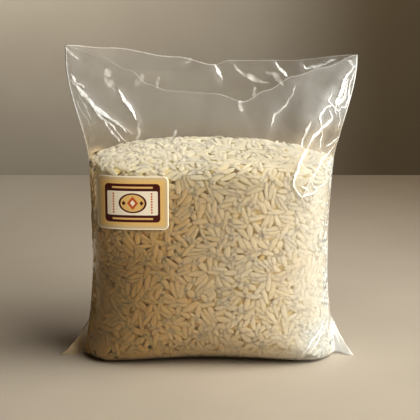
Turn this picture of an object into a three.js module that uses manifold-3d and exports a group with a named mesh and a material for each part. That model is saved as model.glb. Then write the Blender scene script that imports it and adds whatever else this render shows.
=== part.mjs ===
// A clear bag of long-grain rice that stands on its filled base with its mouth open.
// Millimetres, +Z up. The origin is on the surface that the bag stands on, under the
// middle of the filled body. The sticker is on the side that faces -Y.

import * as THREE from "three";
import { mergeVertices } from "three/addons/utils/BufferGeometryUtils.js";
import Module from "manifold-3d";

const wasm = await Module();
wasm.setup();

// The filled body: half its width and depth, and where its front and back edges round under
const BODY_HALF_WIDTH = 50;
const BODY_HALF_DEPTH = 23;
const EDGE_RADIUS_MIDDLE = 19.5;
const EDGE_RADIUS_ENDS = 6;
const EDGE_RADIUS_SPAN = 44;

// The foot spreads sideways near the floor, where the rice runs into the corners
const FOOT_SPREAD = 4.5;
const FOOT_HEIGHT = 40;
const FOOT_FALL = 1.64;

// The filled sides stand out a little above their middle, [left, right]
const SIDE_BULGE = [0.3, 1.2];
const SIDE_BULGE_HEIGHTS = [55, 85, 92, 124];

// The open top: a flat lens that is wider than the body, [left, right]
const MOUTH_HALF_WIDTH = [59.2, 60.4];
const MOUTH_HALF_DEPTH = 13;
const NECK_START = 76;
const NECK_END = 124;

// Section outline: half depth times (1 - |x / half width| ^ power) ^ root
const BODY_SECTION = { power: 3.2, root: 0.5 };
const MOUTH_SECTION = { power: 2, root: 1 };

// A stiff sticker keeps the film near it flat, so the front is squarer there
const STICKER_SECTION = { power: 7, root: 0.36 };
const STICKER = {
  left: -45.6, right: -16.6, bottom: 60.5, top: 82.5, corner: 2.2, thickness: 0.4, margin: 9,
};

// Heights of the mouth's edge at points across it, left to right: [x, height]
const FRONT_RIM = [
  [-60, 132.4], [-46, 129], [-32, 123.4], [-25, 118], [-17, 115.6], [2, 114.6], [14, 111.4],
  [23, 115.6], [34, 121], [46, 124], [60, 128.4],
];
const BACK_RIM = [
  [-60, 132.4], [-42, 130.6], [-14, 126], [2, 122.6], [8, 124.6], [32, 124.9], [60, 128.4],
];

// Bottom corners: two layers of film pressed together, [left, right]. Past the body they bend
// forward.
const EAR_REACH = [64.5, 61.8];
const EAR_HEIGHT = [16, 19];
const EAR_FALL = 1.6;
const EAR_FORWARD = 4.5;
const EAR_BEND = 6;

// The real film is about 0.06 thick. The solid's wall is thicker, so that it holds together
const FILM = 0.5;
const CLEARANCE = 0.3;
const FACET_ALLOWANCE = 0.2;

// The heap: its height beside the film, how much higher its middle is, and how far its edge
// rounds over as a part of the section's depth
const RICE_EDGE_HEIGHT = 86.3;
const RICE_MOUND = 5.2;
const RICE_MOUND_SPAN = 50;
const RICE_MOUND_POWER = 2.6;
const RICE_FALL_TO_RIGHT = 0.02;
const RICE_RIGHT_RISE = 1.6;
const RICE_RIGHT_RISE_SPAN = [44, 51];
const RICE_FRONT_DROP = 6.5;
const RICE_CROWN = 1.6;
const RICE_SHOULDER = 0.26;
const BUMP_DEPTH = 0.8;

// One grain and the loose ones that lie on the heap
const GRAIN_LENGTH = 6.9;
const GRAIN_WIDTH = 2.2;
const GRAIN_SIDES = 6;
const GRAIN_TRIES = 140;
const GRAIN_SINK = 0.1;
const GRAIN_TILT = 0.3;
const SEED = 20;

// Facets
const COLUMNS = 32;
const FILM_LOW_ROWS = [0, 1.6, 4, 7.5, 12, 18, 28, 42, 56, 68, 79];
const FILM_NECK_ROWS = 7;
const RICE_FOOT_ROWS = [0, 1.2, 3, 5.5, 8.5, 12, 16];
const RICE_WALL_ROWS = 19;
const RICE_TOP_ROWS = 12;
const STICKER_COLUMNS = 10;
const STICKER_ROWS = 10;

const COLOURS = { rice: 0xe2d6b2, film: 0xd9dcda, sticker: 0xd2a95f };

const mix = (a, b, t) => a + (b - a) * t;

function smooth(from, to, value) {
  const t = Math.min(1, Math.max(0, (value - from) / (to - from)));
  return t * t * (3 - 2 * t);
}

// Seeded random numbers from 0 to 1
function randomFrom(seed) {
  let state = seed;
  return () => {
    state = (state + 0x6d2b79f5) | 0;
    let bits = Math.imul(state ^ (state >>> 15), 1 | state);
    bits = (bits + Math.imul(bits ^ (bits >>> 7), 61 | bits)) ^ bits;
    return ((bits ^ (bits >>> 14)) >>> 0) / 2 ** 32;
  };
}

const bySide = (pair, x) => (x < 0 ? pair[0] : pair[1]);

// Smooth height at x through a rim's points
function rimHeight(points, x) {
  const at = points.findIndex((point, i) => i > 0 && (x <= point[0] || i === points.length - 1));
  const [x0, z0] = points[at - 1];
  const [x1, z1] = points[at];
  return mix(z0, z1, smooth(x0, x1, x));
}

// Half the width of the cavity at a height
function halfWidth(x, z) {
  const neck = smooth(NECK_START + 4, NECK_END + 2, z);
  const foot = FOOT_SPREAD * Math.max(0, 1 - z / FOOT_HEIGHT) ** FOOT_FALL;
  const [low, full, still, high] = SIDE_BULGE_HEIGHTS;
  const bulge = bySide(SIDE_BULGE, x) * smooth(low, full, z) * smooth(high, still, z);
  return mix(BODY_HALF_WIDTH, bySide(MOUTH_HALF_WIDTH, x), neck) + foot + bulge;
}

// How far the bag reaches at a height, with its bottom corners
function reach(x, z) {
  const height = bySide(EAR_HEIGHT, x);
  const ear = Math.max(0, 1 - z / height) ** EAR_FALL;
  return halfWidth(x, z) + ear * (bySide(EAR_REACH, x) - BODY_HALF_WIDTH - FOOT_SPREAD);
}

// 1 on the sticker's place, falling to 0 round it
function besideSticker(x, z) {
  const { left, right, bottom, top, margin } = STICKER;
  return smooth(right + 2 * margin, right, x) * smooth(left - margin, left, x)
    * smooth(bottom - 2 * margin, bottom, z) * smooth(top + margin, top, z);
}

// Half the depth of the section at a height, before its lower edge rounds under
function sectionDepth(x, z, front) {
  const open = smooth(NECK_START + 2, NECK_END - 6, z);
  const square = front ? besideSticker(x, z) : 0;
  const power = mix(mix(BODY_SECTION.power, STICKER_SECTION.power, square), MOUTH_SECTION.power, open);
  const root = mix(mix(BODY_SECTION.root, STICKER_SECTION.root, square), MOUTH_SECTION.root, open);
  const depth = mix(BODY_HALF_DEPTH, MOUTH_HALF_DEPTH, smooth(NECK_START, NECK_END - 2, z));
  const across = Math.min(1, Math.abs(x) / halfWidth(x, z));
  return depth * Math.max(0, 1 - across ** power) ** root;
}

// How far a lower edge of this radius has drawn in, a given rise above its lowest point
function edgeDrawIn(radius, rise) {
  return rise >= radius ? 0 : radius - Math.sqrt(Math.max(0, radius ** 2 - (radius - rise) ** 2));
}

// Half the depth of a surface that lies a given inset inside the bag's outer face. along runs
// from 0 in the middle to 1 at the side, and x is where that is on the outer face.
function insetDepth(x, z, front, inset, along) {
  const full = sectionDepth(x, z, front);
  const spread = Math.abs(x) / EDGE_RADIUS_SPAN;
  const wanted = mix(EDGE_RADIUS_MIDDLE, EDGE_RADIUS_ENDS, Math.min(1, spread) ** 2);
  const radius = Math.min(wanted, full * 0.9);
  const drawnIn = edgeDrawIn(Math.max(0, radius - inset), z - inset);
  const nose = Math.sqrt(1 - along ** 40);
  return Math.max((full - inset - drawnIn) * nose, 0.03 * (1 - along));
}

// Half the width of that surface, which pulls in further where the section has a sharp side
function insetWidth(x, z, inset) {
  const open = smooth(NECK_START + 2, NECK_END - 6, z);
  return halfWidth(x, z) * (1 - 0.5 * open * (inset / MOUTH_HALF_DEPTH)) - inset;
}

// Places across the section from -1 to 1, closer together near the sides
const ACROSS = Array.from({ length: COLUMNS + 1 }, (_, i) => {
  const t = (2 * i) / COLUMNS - 1;
  return mix(t, Math.sin((t * Math.PI) / 2), 0.6);
});

// One ring, anticlockwise from above: the front from left to right, then the back
function ringPlaces() {
  const front = ACROSS.map((across) => ({ across, front: true }));
  const back = ACROSS.slice(1, -1).reverse().map((across) => ({ across, front: false }));
  return [...front, ...back];
}

const RING = ringPlaces();

// A point of the cavity's wall at an inset, with its height
function wallPoint(place, z, inset) {
  const width = insetWidth(place.across, z, inset);
  const along = Math.abs(place.across);
  const x = place.across * width;
  const depth = insetDepth(place.across * halfWidth(x, z), z, place.front, inset, along);
  const y = along === 1 ? 0 : depth * (place.front ? -1 : 1);
  return new THREE.Vector3(x, y, z);
}

// A point of the bag's outer face, with the pressed film of its bottom corners
function outerPoint(place, z) {
  const width = reach(place.across, z);
  const along = Math.abs(place.across);
  const x = place.across * width;
  const pressed = FILM * Math.sqrt(1 - along ** 24);
  const inBody = Math.min(1, Math.abs(x) / halfWidth(x, z));
  const body = inBody < 1 ? insetDepth(x, z, place.front, 0, inBody) : 0;
  const depth = Math.max(body, z < bySide(EAR_HEIGHT, x) ? pressed : 0, 0.05 * (1 - along));
  const y = along === 1 ? 0 : depth * (place.front ? -1 : 1);
  const forward = EAR_FORWARD * smooth(0, EAR_BEND, Math.abs(x) - halfWidth(x, z));
  return new THREE.Vector3(x, y - forward, z);
}

// Joins two rings of equal length with two triangles for each side. Followed from the bottom
// to the top, the faces look outwards, and from the top to the bottom they look inwards.
function joinRings(triangles, first, second, count) {
  for (let i = 0; i < count; i += 1) {
    const next = (i + 1) % count;
    triangles.push(first + i, first + next, second + next, first + i, second + next, second + i);
  }
}

// Places in a ring's list of points: the front at a column, and the back at the same column
const frontOf = (start, column) => start + column;

function backOf(start, column) {
  return column === 0 || column === COLUMNS ? start + column : start + RING.length - column;
}

// Closes a ring by strips from its front to its back. The face looks down, or up if asked.
function closeRing(triangles, start, up) {
  const face = (a, b, c) => triangles.push(...(up ? [a, b, c] : [b, a, c]));
  for (let i = 0; i < COLUMNS; i += 1) {
    if (i < COLUMNS - 1) {
      face(frontOf(start, i), frontOf(start, i + 1), backOf(start, i + 1));
    }
    if (i > 0) {
      face(frontOf(start, i), backOf(start, i + 1), backOf(start, i));
    }
  }
}

function geometryFrom(points, triangles) {
  const geometry = new THREE.BufferGeometry();
  const positions = new Float32Array(points.flatMap((point) => [point.x, point.y, point.z]));
  geometry.setAttribute("position", new THREE.BufferAttribute(positions, 3));
  geometry.setIndex(triangles);
  return geometry;
}

// Height of a row of film: fixed rows up to the neck, then even steps to the rim
function filmRowHeight(place, row, inset) {
  if (row < FILM_LOW_ROWS.length) {
    return Math.max(inset, FILM_LOW_ROWS[row]);
  }
  const start = FILM_LOW_ROWS.at(-1);
  const x = place.across * bySide(MOUTH_HALF_WIDTH, place.across);
  const rim = rimHeight(place.front ? FRONT_RIM : BACK_RIM, x);
  return mix(start, rim, (row - FILM_LOW_ROWS.length + 1) / FILM_NECK_ROWS);
}

// The bag: its outer face up to the rim, then its inner face down to the floor of the cavity
function filmGeometry() {
  const rows = FILM_LOW_ROWS.length + FILM_NECK_ROWS;
  const points = [];
  const triangles = [];
  for (let row = 0; row < rows; row += 1) {
    points.push(...RING.map((place) => outerPoint(place, filmRowHeight(place, row, 0))));
  }
  for (let row = rows - 1; row >= 0; row -= 1) {
    points.push(...RING.map((place) => wallPoint(place, filmRowHeight(place, row, FILM), FILM)));
  }
  for (let row = 0; row < 2 * rows - 1; row += 1) {
    joinRings(triangles, row * RING.length, (row + 1) * RING.length, RING.length);
  }
  closeRing(triangles, 0, false);
  closeRing(triangles, (2 * rows - 1) * RING.length, true);
  return geometryFrom(points, triangles);
}

const RICE_INSET = FILM + CLEARANCE + FACET_ALLOWANCE;

// Height of the heap's surface. back runs from -1 at the front film to 1 at the back film.
function heapHeight(x, back) {
  const across = Math.min(1, Math.abs(x) / RICE_MOUND_SPAN);
  const mound = RICE_MOUND * (1 - across ** RICE_MOUND_POWER);
  const [from, to] = RICE_RIGHT_RISE_SPAN;
  const tilt = RICE_RIGHT_RISE * smooth(from, to, x) - RICE_FALL_TO_RIGHT * Math.max(0, x);
  const front = RICE_FRONT_DROP * (1 - back) * 0.5 * Math.max(0, 1 - (x / BODY_HALF_WIDTH) ** 2);
  const crown = RICE_CROWN * (1 - back ** 2) * Math.max(0, 1 - (x / BODY_HALF_WIDTH) ** 2);
  return RICE_EDGE_HEIGHT + mound + tilt - front + crown;
}

// How far the heap's rounded edge lies below that height, a given way in from the film
function shoulderFall(x, way) {
  const radius = Math.max(2, RICE_SHOULDER * sectionDepth(x, RICE_EDGE_HEIGHT, true));
  return way < radius ? radius - Math.sqrt(radius ** 2 - (radius - way) ** 2) : 0;
}

function riceWallHeight(place, row) {
  if (row < RICE_FOOT_ROWS.length) {
    return RICE_INSET + RICE_FOOT_ROWS[row];
  }
  const start = RICE_INSET + RICE_FOOT_ROWS.at(-1);
  const x = place.across * BODY_HALF_WIDTH;
  const edge = heapHeight(x, place.front ? -1 : 1) - shoulderFall(x, 0);
  return mix(start, edge, (row - RICE_FOOT_ROWS.length + 1) / RICE_WALL_ROWS);
}

// The heap without its loose grains: walls with bumps of a grain's size, which only ever go
// inwards from the film, and a bumpy top laid across from the front to the back
function heapGeometry(random) {
  const rows = RICE_FOOT_ROWS.length + RICE_WALL_ROWS;
  const count = RING.length;
  const points = [];
  const triangles = [];
  for (let row = 0; row < rows; row += 1) {
    for (const place of RING) {
      const bump = row === 0 ? 0 : BUMP_DEPTH * random();
      points.push(wallPoint(place, riceWallHeight(place, row), RICE_INSET + bump));
    }
    if (row > 0) {
      joinRings(triangles, (row - 1) * count, row * count, count);
    }
  }
  closeRing(triangles, 0, false);

  const edge = (rows - 1) * count;
  const frontEdge = (column) => frontOf(edge, column);
  const backEdge = (column) => backOf(edge, column);
  const top = new Map();
  const at = (i, j) => {
    if (j === 0) {
      return frontEdge(i);
    }
    return j === RICE_TOP_ROWS ? backEdge(i) : top.get(i * RICE_TOP_ROWS + j);
  };
  for (let i = 1; i < COLUMNS; i += 1) {
    for (let j = 1; j < RICE_TOP_ROWS; j += 1) {
      const back = -Math.cos((Math.PI * j) / RICE_TOP_ROWS);
      const place = points[frontEdge(i)].clone().lerp(points[backEdge(i)], (1 + back) / 2);
      const way = (1 - Math.abs(back)) * sectionDepth(place.x, RICE_EDGE_HEIGHT, true);
      const fall = shoulderFall(place.x, way);
      place.z = heapHeight(place.x, back) - fall - BUMP_DEPTH * random();
      top.set(i * RICE_TOP_ROWS + j, points.length);
      points.push(place);
    }
  }
  for (let i = 0; i < COLUMNS; i += 1) {
    for (let j = 0; j < RICE_TOP_ROWS; j += 1) {
      if (i === 0) {
        triangles.push(frontEdge(0), at(1, j), at(1, j + 1));
      } else if (i === COLUMNS - 1) {
        triangles.push(at(i, j), frontEdge(COLUMNS), at(i, j + 1));
      } else {
        triangles.push(at(i, j), at(i + 1, j), at(i + 1, j + 1), at(i, j), at(i + 1, j + 1), at(i, j + 1));
      }
    }
  }
  return geometryFrom(points, triangles);
}

// A grain along X: two rings of six sides between two points
function grainGeometry(length, width) {
  const profile = [[0, -0.5], [0.5, -0.22], [0.5, 0.24], [0, 0.5]];
  const outline = profile.map(([radius, along]) => new THREE.Vector2(radius * width, along * length));
  const geometry = new THREE.LatheGeometry(outline, GRAIN_SIDES);
  geometry.rotateZ(-Math.PI / 2);
  return geometry;
}

function toSolid(geometry) {
  const bare = geometry.clone();
  bare.deleteAttribute("normal");
  bare.deleteAttribute("uv");
  const merged = mergeVertices(bare, 1e-4);
  return new wasm.Manifold(new wasm.Mesh({
    numProp: 3,
    vertProperties: new Float32Array(merged.attributes.position.array),
    triVerts: new Uint32Array(merged.index.array),
  }));
}

function fromSolid(solid) {
  const mesh = solid.getMesh();
  const geometry = new THREE.BufferGeometry();
  geometry.setAttribute("position", new THREE.BufferAttribute(mesh.vertProperties, 3));
  geometry.setIndex(new THREE.BufferAttribute(mesh.triVerts, 1));
  return geometry;
}

// True if a grain's end stays a grain's width inside the film
function clearOfFilm(end) {
  const width = insetWidth(end.x, end.z, RICE_INSET) - GRAIN_WIDTH;
  const depth = sectionDepth(end.x, end.z, end.y < 0) - RICE_INSET - GRAIN_WIDTH;
  return Math.abs(end.x) < width && Math.abs(end.y) < depth;
}

// Loose grains, spread evenly over the heap's top by the R2 sequence, in random directions
function looseGrains(random) {
  const steps = [0.7548776662, 0.569840291];
  const grains = [];
  for (let i = 0; i < GRAIN_TRIES; i += 1) {
    const across = 2 * ((0.5 + i * steps[0]) % 1) - 1;
    const back = 2 * ((0.5 + i * steps[1]) % 1) - 1;
    const x = across * BODY_HALF_WIDTH;
    const y = back * BODY_HALF_DEPTH;
    const length = GRAIN_LENGTH * mix(0.88, 1.1, random());
    const width = GRAIN_WIDTH * mix(0.92, 1.08, random());
    const way = sectionDepth(x, RICE_EDGE_HEIGHT, true) - Math.abs(y);
    const height = heapHeight(x, back) - shoulderFall(x, Math.max(0, way));
    const centre = new THREE.Vector3(x, y, height - GRAIN_SINK * width);
    const turn = new THREE.Euler(0, mix(-GRAIN_TILT, GRAIN_TILT, random()), random() * Math.PI, "ZYX");
    const half = new THREE.Vector3(length / 2, 0, 0).applyEuler(turn);
    const ends = [centre.clone().add(half), centre.clone().sub(half)];
    if (ends.every(clearOfFilm)) {
      const grain = grainGeometry(length, width);
      grain.applyMatrix4(new THREE.Matrix4().makeRotationFromEuler(turn).setPosition(centre));
      grains.push(toSolid(grain));
    }
  }
  return grains;
}

function riceGeometry() {
  const random = randomFrom(SEED);
  let heap = toSolid(heapGeometry(random));
  for (const grain of looseGrains(random)) {
    heap = heap.add(grain);
  }
  return fromSolid(heap);
}

// Height and place of the sticker's outline: a rectangle with round corners
function stickerGeometry() {
  const { left, right, bottom, top, corner, thickness } = STICKER;
  const halfW = (right - left) / 2;
  const halfH = (top - bottom) / 2;
  const points = [];
  const triangles = [];
  const layers = [CLEARANCE, CLEARANCE + thickness];
  for (const stand of layers) {
    for (let j = 0; j <= STICKER_ROWS; j += 1) {
      const v = Math.sin(((2 * j) / STICKER_ROWS - 1) * (Math.PI / 2)) * halfH;
      const past = Math.max(0, Math.abs(v) - (halfH - corner));
      const width = halfW - corner + Math.sqrt(corner ** 2 - past ** 2);
      for (let i = 0; i <= STICKER_COLUMNS; i += 1) {
        const x = (left + right) / 2 + ((2 * i) / STICKER_COLUMNS - 1) * width;
        const z = (bottom + top) / 2 + v;
        points.push(new THREE.Vector3(x, -sectionDepth(x, z, true) - stand, z));
      }
    }
  }
  const line = STICKER_COLUMNS + 1;
  const layer = line * (STICKER_ROWS + 1);
  const quad = (a, b, c, d) => triangles.push(a, b, c, a, c, d);
  for (let j = 0; j < STICKER_ROWS; j += 1) {
    for (let i = 0; i < STICKER_COLUMNS; i += 1) {
      const a = j * line + i;
      quad(layer + a, layer + a + 1, layer + a + line + 1, layer + a + line);
      quad(a + 1, a, a + line, a + line + 1);
    }
    const first = j * line;
    const last = first + STICKER_COLUMNS;
    quad(first, layer + first, layer + first + line, first + line);
    quad(layer + last, last, last + line, layer + last + line);
  }
  for (let i = 0; i < STICKER_COLUMNS; i += 1) {
    const high = STICKER_ROWS * line + i;
    quad(i, i + 1, layer + i + 1, layer + i);
    quad(layer + high, layer + high + 1, high + 1, high);
  }
  return geometryFrom(points, triangles);
}

function piece(name, geometry, colour, roughness) {
  const material = new THREE.MeshStandardMaterial({ color: colour, roughness, metalness: 0 });
  const mesh = new THREE.Mesh(geometry, material);
  mesh.name = name;
  return mesh;
}

const group = new THREE.Group();
group.add(piece("rice", riceGeometry(), COLOURS.rice, 0.6));
group.add(piece("bag", filmGeometry(), COLOURS.film, 0.15));
group.add(piece("sticker", stickerGeometry(), COLOURS.sticker, 0.45));

export default group;
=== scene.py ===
"""A clear bag of long-grain rice with its mouth open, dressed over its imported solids.

Shapes are worked out in millimetres in the solids' own frame (+Z up, the sticker on the -Y
side) and go into the meshes in metres. New meshes keep their place in their vertices.
"""

from __future__ import annotations

import logging
import math
from dataclasses import dataclass, field
from enum import Enum
from typing import Any

import bpy
import numpy as np
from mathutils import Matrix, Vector


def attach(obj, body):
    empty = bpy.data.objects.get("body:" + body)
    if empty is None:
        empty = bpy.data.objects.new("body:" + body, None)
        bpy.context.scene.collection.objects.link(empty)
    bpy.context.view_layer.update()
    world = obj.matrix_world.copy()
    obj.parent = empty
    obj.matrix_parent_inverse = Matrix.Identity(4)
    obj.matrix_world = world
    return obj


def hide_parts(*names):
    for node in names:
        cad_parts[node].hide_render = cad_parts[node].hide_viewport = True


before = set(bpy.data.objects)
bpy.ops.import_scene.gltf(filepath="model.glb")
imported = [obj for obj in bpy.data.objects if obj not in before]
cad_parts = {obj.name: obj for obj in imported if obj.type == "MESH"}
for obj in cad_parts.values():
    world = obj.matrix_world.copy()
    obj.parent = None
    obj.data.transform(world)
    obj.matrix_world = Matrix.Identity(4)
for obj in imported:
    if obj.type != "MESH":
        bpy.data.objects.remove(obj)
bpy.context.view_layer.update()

MM = 0.001
LOG = logging.getLogger("rice_bag")
Array = np.ndarray


def mix(a: Any, b: Any, t: Any) -> Any:
    """Returns the blend from a at t = 0 to b at t = 1."""
    return a + (b - a) * t


def smooth(start: float, end: float, value: Array) -> Array:
    """Returns 0 before start and 1 after end, with the cubic 3t² - 2t³ between."""
    t = np.clip((value - start) / (end - start), 0.0, 1.0)
    return t * t * (3.0 - 2.0 * t)


def unit(vectors: Array) -> Array:
    """Returns the vectors at length 1."""
    length = np.linalg.norm(vectors, axis=-1, keepdims=True)
    return vectors / np.maximum(length, 1e-9)


class Panel(Enum):
    """The two sides of the flat bag, with how much of a point on each is on the front."""

    FRONT = 1.0
    BACK = 0.0


@dataclass(frozen=True)
class StickerPlace:
    """Where the sticker lies on the front, in millimetres."""

    left: float = -45.6
    right: float = -16.6
    bottom: float = 60.5
    top: float = 82.5
    corner: float = 2.2
    margin: float = 9.0

    @property
    def half_width(self) -> float:
        """Half its width."""
        return (self.right - self.left) / 2

    @property
    def half_height(self) -> float:
        """Half its height."""
        return (self.top - self.bottom) / 2

    def nearness(self, x: Array, z: Array) -> Array:
        """Returns 1 on the sticker's place, falling smoothly to 0 round it."""
        sideways = smooth(self.right + 2 * self.margin, self.right, x)
        sideways = sideways * smooth(self.left - self.margin, self.left, x)
        upright = smooth(self.bottom - 2 * self.margin, self.bottom, z)
        return sideways * upright * smooth(self.top + self.margin, self.top, z)


@dataclass(frozen=True)
class BagShape:
    """The outer form of the filled bag, the same as the solids', in millimetres."""

    body_half_width: float = 50.0
    body_half_depth: float = 23.0
    edge_radius_middle: float = 19.5
    edge_radius_ends: float = 6.0
    edge_radius_span: float = 44.0
    foot_spread: float = 4.5
    foot_height: float = 40.0
    foot_fall: float = 1.64
    side_bulge: tuple[float, float] = (0.3, 1.2)
    side_bulge_heights: tuple[float, float, float, float] = (55.0, 85.0, 92.0, 124.0)
    mouth_half_width: tuple[float, float] = (59.2, 60.4)
    mouth_half_depth: float = 13.0
    neck_widens: tuple[float, float] = (80.0, 126.0)
    neck_opens: tuple[float, float] = (78.0, 118.0)
    neck_thins: tuple[float, float] = (76.0, 122.0)
    body_section: tuple[float, float] = (3.2, 0.5)
    sticker_section: tuple[float, float] = (7.0, 0.36)
    mouth_section: tuple[float, float] = (2.0, 1.0)
    ear_reach: tuple[float, float] = (64.5, 61.8)
    ear_height: tuple[float, float] = (16.0, 19.0)
    ear_fall: float = 1.6
    ear_forward: float = 4.5
    ear_bend: float = 6.0
    heap_edge: float = 86.3
    heap_mound: float = 5.2
    heap_mound_span: float = 50.0
    heap_mound_power: float = 2.6
    heap_fall_to_right: float = 0.02
    heap_right_rise: float = 1.6
    heap_right_rise_span: tuple[float, float] = (44.0, 51.0)
    heap_front_drop: float = 6.5
    heap_crown: float = 1.6
    heap_shoulder: float = 0.26
    front_rim: tuple[tuple[float, float], ...] = (
        (-60, 132.4), (-46, 129), (-32, 123.4), (-25, 118), (-17, 115.6), (2, 114.6),
        (14, 111.4), (23, 115.6), (34, 121), (46, 124), (60, 128.4),
    )
    back_rim: tuple[tuple[float, float], ...] = (
        (-60, 132.4), (-42, 130.6), (-14, 126), (2, 122.6), (8, 124.6), (32, 124.9),
        (60, 128.4),
    )
    sticker: StickerPlace = field(default_factory=StickerPlace)

    @staticmethod
    def by_side(pair: tuple[float, float], x: Array) -> Array:
        """Returns the pair's first value left of the middle and its second on the right."""
        return np.where(x < 0, pair[0], pair[1])

    def half_width(self, x: Array, z: Array) -> Array:
        """Half the width at a height: the body, its spread foot, its bulge and its wider neck.

        Args:
            x: places across, for the side that they are on.
            z: heights.

        Returns:
            The distance from the middle to the side edge.
        """
        neck = smooth(*self.neck_widens, z)
        foot = self.foot_spread * np.maximum(0, 1 - z / self.foot_height) ** self.foot_fall
        low, full, still, high = self.side_bulge_heights
        bulge = self.by_side(self.side_bulge, x) * smooth(low, full, z) * smooth(high, still, z)
        width = mix(self.body_half_width, self.by_side(self.mouth_half_width, x), neck)
        return width + foot + bulge

    def reach(self, x: Array, z: Array) -> Array:
        """Half the width with the bottom corners, which fall off as (1 - z / height)^fall."""
        ear = np.maximum(0, 1 - z / self.by_side(self.ear_height, x)) ** self.ear_fall
        spare = self.by_side(self.ear_reach, x) - self.body_half_width - self.foot_spread
        return self.half_width(x, z) + ear * spare

    def section(self, x: Array, z: Array, front: Array) -> list[Array]:
        """Returns the power and the root of the body's section, squarer behind the sticker."""
        square = self.sticker.nearness(x, z) * front
        return [mix(*pair, square) for pair in zip(self.body_section, self.sticker_section)]

    def section_depth(self, x: Array, z: Array, front: Array) -> Array:
        """Half the depth at a height: depth times (1 - |x / half width|^power)^root.

        Args:
            x: places across.
            z: heights.
            front: 1 on the front panel and 0 on the back.

        Returns:
            The distance from the middle plane to the outer face.
        """
        opening = smooth(*self.neck_opens, z)
        body = self.section(x, z, front)
        power, root = (mix(*pair, opening) for pair in zip(body, self.mouth_section))
        depth = mix(self.body_half_depth, self.mouth_half_depth, smooth(*self.neck_thins, z))
        across = np.minimum(1, np.abs(x) / self.half_width(x, z))
        return depth * np.maximum(0, 1 - across**power) ** root

    def edge_radius(self, x: Array, full: Array) -> Array:
        """Radius of the lower edge: large in the middle, small at the ends."""
        spread = np.minimum(1, np.abs(x) / self.edge_radius_span)
        return np.minimum(mix(self.edge_radius_middle, self.edge_radius_ends, spread**2), 0.9 * full)

    def wall_depth(self, x: Array, z: Array, front: Array, inset: float, along: Array) -> Array:
        """Half the depth of a surface at an inset, with its lower edge a quarter circle.

        Args:
            x: places across.
            z: heights.
            front: 1 on the front panel and 0 on the back.
            inset: how far inside the outer face.
            along: how near the side edge the places are, 1 at the edge.

        Returns:
            The distance from the middle plane to the surface.
        """
        full = self.section_depth(x, z, front)
        radius = np.maximum(0, self.edge_radius(x, full) - inset)
        left = np.clip(radius - (z - inset), 0, radius)
        drawn_in = radius - np.sqrt(np.maximum(0, radius**2 - left**2))
        nose = np.sqrt(np.maximum(0, 1 - along**40))
        return np.maximum((full - inset - drawn_in) * nose, 0.03 * (1 - along))

    def wall_point(self, across: Array, z: Array, front: Array, inset: float) -> Array:
        """Points of the cavity's wall at an inset.

        Args:
            across: place across the section, from -1 to 1.
            z: height.
            front: 1 on the front panel and 0 on the back.
            inset: how far inside the outer face.

        Returns:
            The points, with their three numbers on the last axis.
        """
        opening = smooth(*self.neck_opens, z)
        pull = 1 - 0.5 * opening * (inset / self.mouth_half_depth)
        x = across * (self.half_width(across, z) * pull - inset)
        along = np.abs(across)
        depth = self.wall_depth(across * self.half_width(across, z), z, front, inset, along)
        y = np.where(along >= 1, 0, depth * np.where(front > 0, -1, 1))
        return np.stack([x, y, np.broadcast_to(z, x.shape)], axis=-1)

    def outer_point(self, across: Array, z: Array, front: Array, inset: float, film: float) -> Array:
        """Points of the film, with the pressed layers of the bottom corners.

        Args:
            across: place across the whole reach, from -1 to 1.
            z: height.
            front: 1 on the front panel and 0 on the back.
            inset: how far inside the solid's outer face.
            film: half the thickness of a bottom corner.

        Returns:
            The points, with their three numbers on the last axis.
        """
        along = np.abs(across)
        x = across * (self.reach(across, z) - inset)
        within = np.minimum(1, np.abs(x) / (self.half_width(x, z) - inset))
        body = np.where(within < 1, self.wall_depth(x, z, front, inset, within), 0)
        pressed = film * np.sqrt(np.maximum(0, 1 - along**24))
        depth = np.maximum(body, np.where(z < self.by_side(self.ear_height, x), pressed, 0))
        depth = np.maximum(depth, 0.05 * (1 - along))
        y = np.where(along >= 1, 0, depth * np.where(front > 0, -1, 1))
        forward = self.ear_forward * smooth(0, self.ear_bend, np.abs(x) - self.half_width(x, z))
        return np.stack([x, y - forward, np.broadcast_to(z, x.shape)], axis=-1)

    @staticmethod
    def through(points: tuple[tuple[float, float], ...], x: Array) -> Array:
        """Follows a line through points, eased between each two.

        Args:
            points: places across and their heights, from left to right.
            x: places across.

        Returns:
            The line's heights.
        """
        places, heights = np.array(points).T
        after = np.clip(np.searchsorted(places, x), 1, len(places) - 1)
        start, end = places[after - 1], places[after]
        t = np.clip((x - start) / (end - start), 0, 1)
        return mix(heights[after - 1], heights[after], t * t * (3 - 2 * t))

    def rim_height(self, across: Array, front: Array) -> Array:
        """Height of the mouth's edge across each panel."""
        x = across * self.by_side(self.mouth_half_width, across)
        return np.where(front > 0, self.through(self.front_rim, x), self.through(self.back_rim, x))

    def heap_height(self, x: Array, back: Array) -> Array:
        """Height of the rice: a mound, lower at the front, with a slight fall to the right.

        Args:
            x: places across.
            back: -1 at the front film to 1 at the back film.

        Returns:
            The heap's top.
        """
        across = np.minimum(1, np.abs(x) / self.heap_mound_span)
        mound = self.heap_mound * (1 - across**self.heap_mound_power)
        rise = self.heap_right_rise * smooth(*self.heap_right_rise_span, x)
        tilt = self.heap_fall_to_right * np.maximum(0, x) - rise
        middle = np.maximum(0, 1 - (x / self.body_half_width) ** 2)
        drop = self.heap_front_drop * (1 - back) * 0.5 * middle
        return self.heap_edge + mound - tilt - drop + self.heap_crown * (1 - back**2) * middle

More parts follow.
